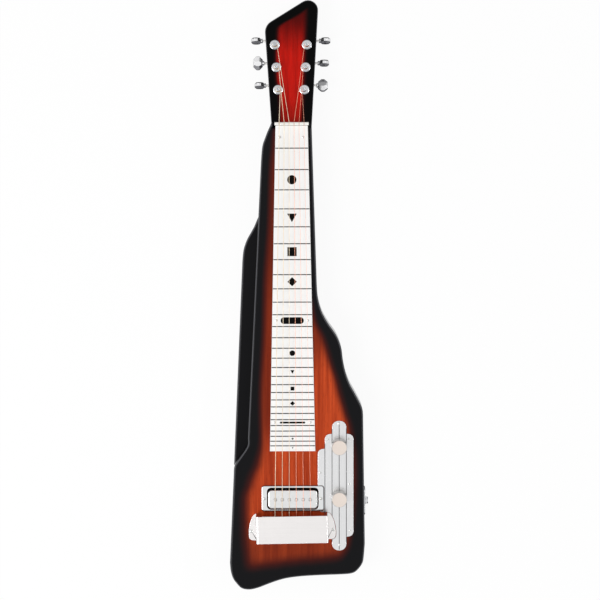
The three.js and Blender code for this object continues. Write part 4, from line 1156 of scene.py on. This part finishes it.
def add_cover():
    out, top = COVER_WIDTH / 2, COVER_HEIGHT
    inner, roof = out - COVER_WALL, top - COVER_WALL
    section = corner_arc([
        [out, 0, 0], [out, top, 3], [-out, top, 3], [-out, 0, 0],
        [-inner, 0, 0], [-inner, roof, 1.8], [inner, roof, 1.8], [inner, 0, 0],
    ], 8)
    arch = moved(slab(section, -COVER_LENGTH / 2, COVER_LENGTH / 2, 0.3, 0.3, 2), UPRIGHT)
    ears = [slab(ear(side), 0, COVER_WALL, 0.4, steps=3) for side, _ in SIDES]
    piece("cover_arch", moved(merged(arch, *ears), COVER_PLACE), "cover",
          replaces=["bridge_cover"])
    along, reach = EAR_SCREW_SHARE
    for side, name in SIDES:
        spot = Vector((side * (inner + reach * EAR_REACH), COVER_LENGTH * (0.5 - along), COVER_WALL))
        place = COVER_PLACE @ Matrix.Translation(spot)
        add_screw(f"ear_screw_{name}", place, 2.4, 1.1, [f"cover_screw_{name}"])


# Pickup; each rectangle is (width, length, corner radius)
RING_WIDTH, RING_LENGTH, RING_CORNER, RING_HEIGHT = 90, 37.3, 4, 3
RING_OPENING = (74.3, 31.9, 6)
SHELL_SIZE, SHELL_HOLLOW = (70.7, 26.5, 5), (69.1, 24.9, 4.2)
POLE_RADIUS, POLE_HOLE_RADIUS = 2.2, 2.5
POLE_BAR = (57.4, 7, 0.5)


def pole(number, low, high):
    """A round pole with a screwdriver slot, each turned a little further than the last."""
    profile = soft_profile([(0, low), (POLE_RADIUS, low), (POLE_RADIUS, high), (0, high)], 0.3)
    slot = slab(rectangle(5, 0.7, 0), high - 0.6, high + 2)
    mesh = carved(lathe(profile, 28), moved(slot, Matrix.Rotation(0.5 * number, 4, "Z")))
    return shifted(mesh, *at(string_u(number, POLE_SPACING), PICKUP_V))


def add_pickup():
    ring_centre, centre = flat(0, RING_V), flat(0, PICKUP_V)
    ring_top = SEATED + RING_HEIGHT
    ring = slab(rectangle(RING_WIDTH, RING_LENGTH, RING_CORNER, ring_centre), SEATED, ring_top, 1.5)
    opening = slab(rectangle(*RING_OPENING, ring_centre), SEATED - 5, SEATED + 9)
    piece("pickup_frame", ring, "frame_metal", replaces=["pickup_ring"], bevel=0.25,
          cutters=[opening])
    low, high = box_mm("pickup_cover")
    shell = slab(rectangle(*SHELL_SIZE, centre), low.z, high.z - 0.15, 1.5)
    hollow = slab(rectangle(*SHELL_HOLLOW, centre), low.z - 3, high.z - 0.95)
    holes = [shifted(rod(POLE_HOLE_RADIUS, -5, 5, 28), *at(string_u(number, POLE_SPACING), PICKUP_V, high.z))
             for number in STRINGS]
    piece("pickup_shell", shell, "pickup", replaces=["pickup_cover"], bevel=0.1,
          cutters=[hollow, *holes])
    pole_low, _ = box_mm("pickup_pole_pieces")
    bar = slab(rectangle(*POLE_BAR, centre), pole_low.z, pole_low.z + 2, 0.3, 0.3, 2)
    rods = [pole(number, pole_low.z, high.z) for number in STRINGS]
    piece("pole_rods", merged(bar, *rods), "steel", replaces=["pickup_pole_pieces"])
    for side, name in SIDES:
        add_screw(f"ring_screw_{name}", place_at(side * 40.8, RING_V, ring_top), 2.1, 0.8)


# Control plate: five raised strips with a groove between each two
STRIPS, STRIP_WIDTH, PLATE_INNER = 5, 10.27, 36
PLATE_START, PLATE_STEP, PLATE_BASS_STEP = 422.2, 19, 21.6
PLATE_END, PLATE_END_STEP, PLATE_BASS_END = 611.5, 20.3, 35.6
PLATE_THICKNESS, GROOVE_WIDTH, GROOVE_DEPTH = 1.3, 0.95, 0.75
PLATE_SCREWS = [
    (66.4, 426.4), (50.9, 449.2), (80.6, 448.2), (39.9, 497.6), (81.3, 514.2), (82.7, 582.3), (67.4, 603.3),
]


def plate_outline():
    line = [PLATE_INNER + STRIP_WIDTH * strip for strip in range(STRIPS + 1)]
    shoulder = PLATE_START + PLATE_STEP
    bass_shoulder = shoulder + PLATE_BASS_STEP
    end_shoulder = PLATE_END - PLATE_END_STEP
    bass_end = end_shoulder - PLATE_BASS_END
    corners = [
        (0, bass_shoulder, 7.5), (1, bass_shoulder, 2), (1, shoulder, 7.5), (2, shoulder, 2),
        (2, PLATE_START, 9.3), (4, PLATE_START, 9.3), (4, shoulder, 2), (5, shoulder, 7.5),
        (5, end_shoulder, 7.5), (4, end_shoulder, 2), (4, PLATE_END, 9.3), (2, PLATE_END, 9.3),
        (2, end_shoulder, 2), (1, end_shoulder, 7.5), (1, bass_end, 2), (0, bass_end, 7.5),
    ]
    return corner_arc([[*flat(line[strip], v), radius] for strip, v, radius in corners], 7)


def beside_ring_and_ear():
    """The rooms of the pickup ring and of the cover's treble ear, to cut out of the plate."""
    size = (RING_WIDTH + 2 * CLEARANCE, RING_LENGTH + 2 * CLEARANCE, RING_CORNER)
    ring = slab(rectangle(*size, flat(0, RING_V)), SEATED - 3, SEATED + 5)
    return [ring, moved(slab(ear(1, CLEARANCE), -3, 8), COVER_PLACE)]


def add_control_plate():
    top = SEATED + PLATE_THICKNESS
    ring_room, ear_room = beside_ring_and_ear()
    foot = rectangle(COVER_WIDTH + 2 * CLEARANCE, COVER_LENGTH + 2 * CLEARANCE, 0)
    cutters = [ring_room, moved(slab(foot, -3, 8), COVER_PLACE), ear_room]
    cutters += [shifted(rod(4.9, -5, 5), *at(KNOB_U, v, SEATED)) for v in KNOB_V]
    shoulder, end_shoulder = PLATE_START + PLATE_STEP, PLATE_END - PLATE_END_STEP
    spans = (
        (shoulder + PLATE_BASS_STEP - 8, 560), (shoulder - 8, end_shoulder + 8),
        (PLATE_START + 0.6, PLATE_END - 0.6), (shoulder - 8, end_shoulder + 8),
    )
    shades = []
    for strip, (start, end) in enumerate(spans, 1):
        centre = flat(PLATE_INNER + STRIP_WIDTH * strip, (start + end) / 2)
        cutters.append(slab(rectangle(GROOVE_WIDTH, end - start, 0.3, centre), top - GROOVE_DEPTH, top + 2))
        # Painted shade: a dark strip lies in each groove's floor
        shade = rectangle(GROOVE_WIDTH - 0.05, end - start - 1, 0.2, centre)
        shades.append(slab(shade, top - 0.9, top - 0.6))
    piece("step_plate", slab(plate_outline(), SEATED, top, 0.45, steps=3), "plate",
          replaces=["control_plate"], bevel=0.12, cutters=cutters)
    piece("plate_groove_painted_shade", merged(*shades), "groove", cutters=beside_ring_and_ear())
    for spot, (u, v) in enumerate(PLATE_SCREWS, 1):
        add_screw(f"plate_screw_{spot}", place_at(u, v, top - 0.1), 1.7, 0.6)


# Knobs: a knurled ring with a smooth disc in its top
KNURLS, KNURL_DEPTH, KNURL_SIDES = 44, 0.3, 176


def add_knob(name):
    low, high = box_mm(f"{name}_knob")
    centre = (low + high) / 2
    radius, height = (high.x - low.x) / 2, high.z - low.z
    rim, floor = radius - 0.6, height - 4

    def knurl(r, z, angle):
        if r <= radius - 0.5 or not 2 < z < height - 1.6:
            return r
        return r - KNURL_DEPTH * (0.5 + 0.5 * math.cos(KNURLS * angle))

    bore = [(rim, floor), (3.3, floor), (3.3, 3.4), (5.2, 3.4), (5.2, 0)]
    side = [(radius - 0.3, 0), (radius, 0.3), (radius, 1.9), (radius, 2.1), (radius, height / 2)]
    top = [(radius, height - 1.7), (radius, height - 1.5), (radius, height - 0.6)]
    lip = [(rim + 0.35, height - 0.2), (rim, height - 0.2)]
    crown = [(rim, height - 0.1), (rim - 0.2, height), (rim - 0.6, height - 0.05)]
    dish = [(rim - 0.9, height - 0.25), (0, height - 0.25)]
    grip = lathe([*bore, *side, *top, *lip], KNURL_SIDES, knurl)
    disc = lathe([(0, floor), (rim, floor), *crown, *dish], 64)
    place = Matrix.Translation((centre.x, centre.y, low.z))
    body = f"{name}_knob"
    piece(f"{name}_grip", moved(grip, place), "knob_side", body, [body], angle=50)
    piece(f"{name}_face", moved(disc, place), "knob", body, angle=40)


# Jack, drawn along z and turned to the treble side
JACK_PLATE_SIZE, JACK_PLATE_THICKNESS = (27, 38, 4), 1.2
SOCKET_BORE, SOCKET_THREAD, JACK_NUT_BORE = 3.5, 4.9, 4.95


def add_jack():
    low, high = box_mm("jack_plate")
    middle = (low + high) / 2
    along_x = Matrix.Translation((low.x, middle.y, middle.z)) @ Z_TO_X
    plate = slab(rectangle(*JACK_PLATE_SIZE), 0, JACK_PLATE_THICKNESS, 0.35, steps=3)
    piece("side_plate", moved(plate, along_x), "chrome", replaces=["jack_plate"],
          cutters=[moved(rod(5.2, -4, 6, 32), along_x)])
    sleeve = lathe(soft_profile([
        (SOCKET_BORE, -19), (8, -19), (8, -0.3), (SOCKET_THREAD, -0.3), (SOCKET_THREAD, 5.1), (4.6, 5.3),
        (3.8, 5.3), (SOCKET_BORE, 5.0),
    ], 0.2), 40)
    washer = lathe([(JACK_NUT_BORE, 1.3), (6, 1.3), (6, 1.8), (JACK_NUT_BORE, 1.8)], 40)
    nut = slab(hexagon(10.3), 1.8, 3.9, (0.4, 0.3), (0.4, 0.3), 3)
    nut = moved(carved(nut, rod(JACK_NUT_BORE, 0, 6, 32)), along_x)
    piece("jack_nut", nut, "plate", bevel=0.1)
    piece("jack_sleeve", moved(merged(sleeve, washer), along_x), "chrome",
          replaces=["jack_socket"])
    for side, name in ((-1, "head"), (1, "tail")):
        spot = Matrix.Translation((0, -side * 14.5, JACK_PLATE_THICKNESS))
        add_screw(f"jack_screw_{name}", along_x @ spot, 1.9, 0.6)


# Nodes that no piece replaces keep their shape and take a finish
KEPT_FINISHES = {
    "pickup_bobbin": "black", "pickup_coil": "copper", "pickup_magnet": "magnet", "tone_pot": "steel",
    "volume_pot": "steel", "tone_pot_shaft": "steel", "volume_pot_shaft": "steel",
}


def finish_kept_nodes():
    for name, look in KEPT_FINISHES.items():
        data = nodes[name].data
        data.materials.clear()
        data.materials.append(MATERIALS[look])


# Floor, background and lamps
FLOOR_GLOW = 0.93
WORLD_LIGHT = 0.55
WHITE = (1.0, 1.0, 1.0, 1.0)
# Each lamp's place in metres, size and watts
LAMPS = {
    "key": ((-1.5, -0.7, 2.2), (1.3, 1.3), 30),
    "strip_bass": ((-2.2, 0.1, 1.5), (2.6, 0.1), 9),
    "strip_treble": ((2.2, 0.1, 1.5), (2.6, 0.1), 9),
    "strip_tail": ((0.1, -2.6, 1.5), (1.2, 0.12), 5),
}


def seen_ray(tree):
    """1 for what the camera, reflections and clear materials see, 0 for the light on the object."""
    path = tree.nodes.new("ShaderNodeLightPath")
    total = path.outputs["Is Camera Ray"]
    for name in ("Is Glossy Ray", "Is Transmission Ray"):
        either = tree.nodes.new("ShaderNodeMath")
        either.operation = "MAXIMUM"
        tree.links.new(total, either.inputs[0])
        tree.links.new(path.outputs[name], either.inputs[1])
        total = either.outputs[0]
    return total


def blended(tree, share, first, second, output):
    """Two shaders mixed by a share, as the tree's output."""
    blend = tree.nodes.new("ShaderNodeMixShader")
    for socket, value in zip(blend.inputs, (share, first.outputs[0], second.outputs[0])):
        tree.links.new(value, socket)
    tree.links.new(blend.outputs[0], tree.nodes[output].inputs["Surface"])


def make_floor():
    kit = Nodes("floor_pale")
    kit.surface(kit.mix(kit.noise(3.0), (0.9, 0.9, 0.9, 1.0), (0.93, 0.93, 0.93, 1.0)), 0.9)
    seen = kit.times(seen_ray(kit.tree), FLOOR_GLOW)
    blended(kit.tree, seen, kit.shader, kit.add("Emission"), "Material Output")
    mesh = bmesh.new()
    bmesh.ops.create_grid(mesh, x_segments=2, y_segments=2, size=6000)
    floor = mesh_object("floor", mesh)
    floor.location.z = -0.0005
    floor.data.materials.append(kit.material)


def make_world():
    world = bpy.data.worlds.new("studio")
    bpy.context.scene.world = world
    world.use_nodes = True
    tree = world.node_tree
    soft = tree.nodes["Background"]
    soft.inputs["Color"].default_value = WHITE
    soft.inputs["Strength"].default_value = WORLD_LIGHT
    backdrop = tree.nodes.new("ShaderNodeBackground")
    backdrop.inputs["Color"].default_value = WHITE
    blended(tree, seen_ray(tree), soft, backdrop, "World Output")


def add_lamp(name, place, size, energy):
    lamp = bpy.data.objects.new(name, bpy.data.lights.new(name, "AREA"))
    lamp.data.shape = "RECTANGLE"
    lamp.data.size, lamp.data.size_y = size
    lamp.data.energy = energy
    lamp.location = place
    lamp.rotation_euler = (-lamp.location).to_track_quat("-Z", "Y").to_euler()
    bpy.context.scene.collection.objects.link(lamp)


make_camera()
MATERIALS = make_materials()
make_body()
add_fingerboard()
add_nut()
add_strings()
for tuner in STRINGS:
    add_tuner(tuner)
add_bridge()
add_cover()
add_pickup()
add_control_plate()
add_knob("tone")
add_knob("volume")
add_jack()
finish_kept_nodes()
make_floor()
make_world()
for lamp_name, settings in LAMPS.items():
    add_lamp(lamp_name, *settings)
bpy.context.scene.view_settings.view_transform = "Standard"
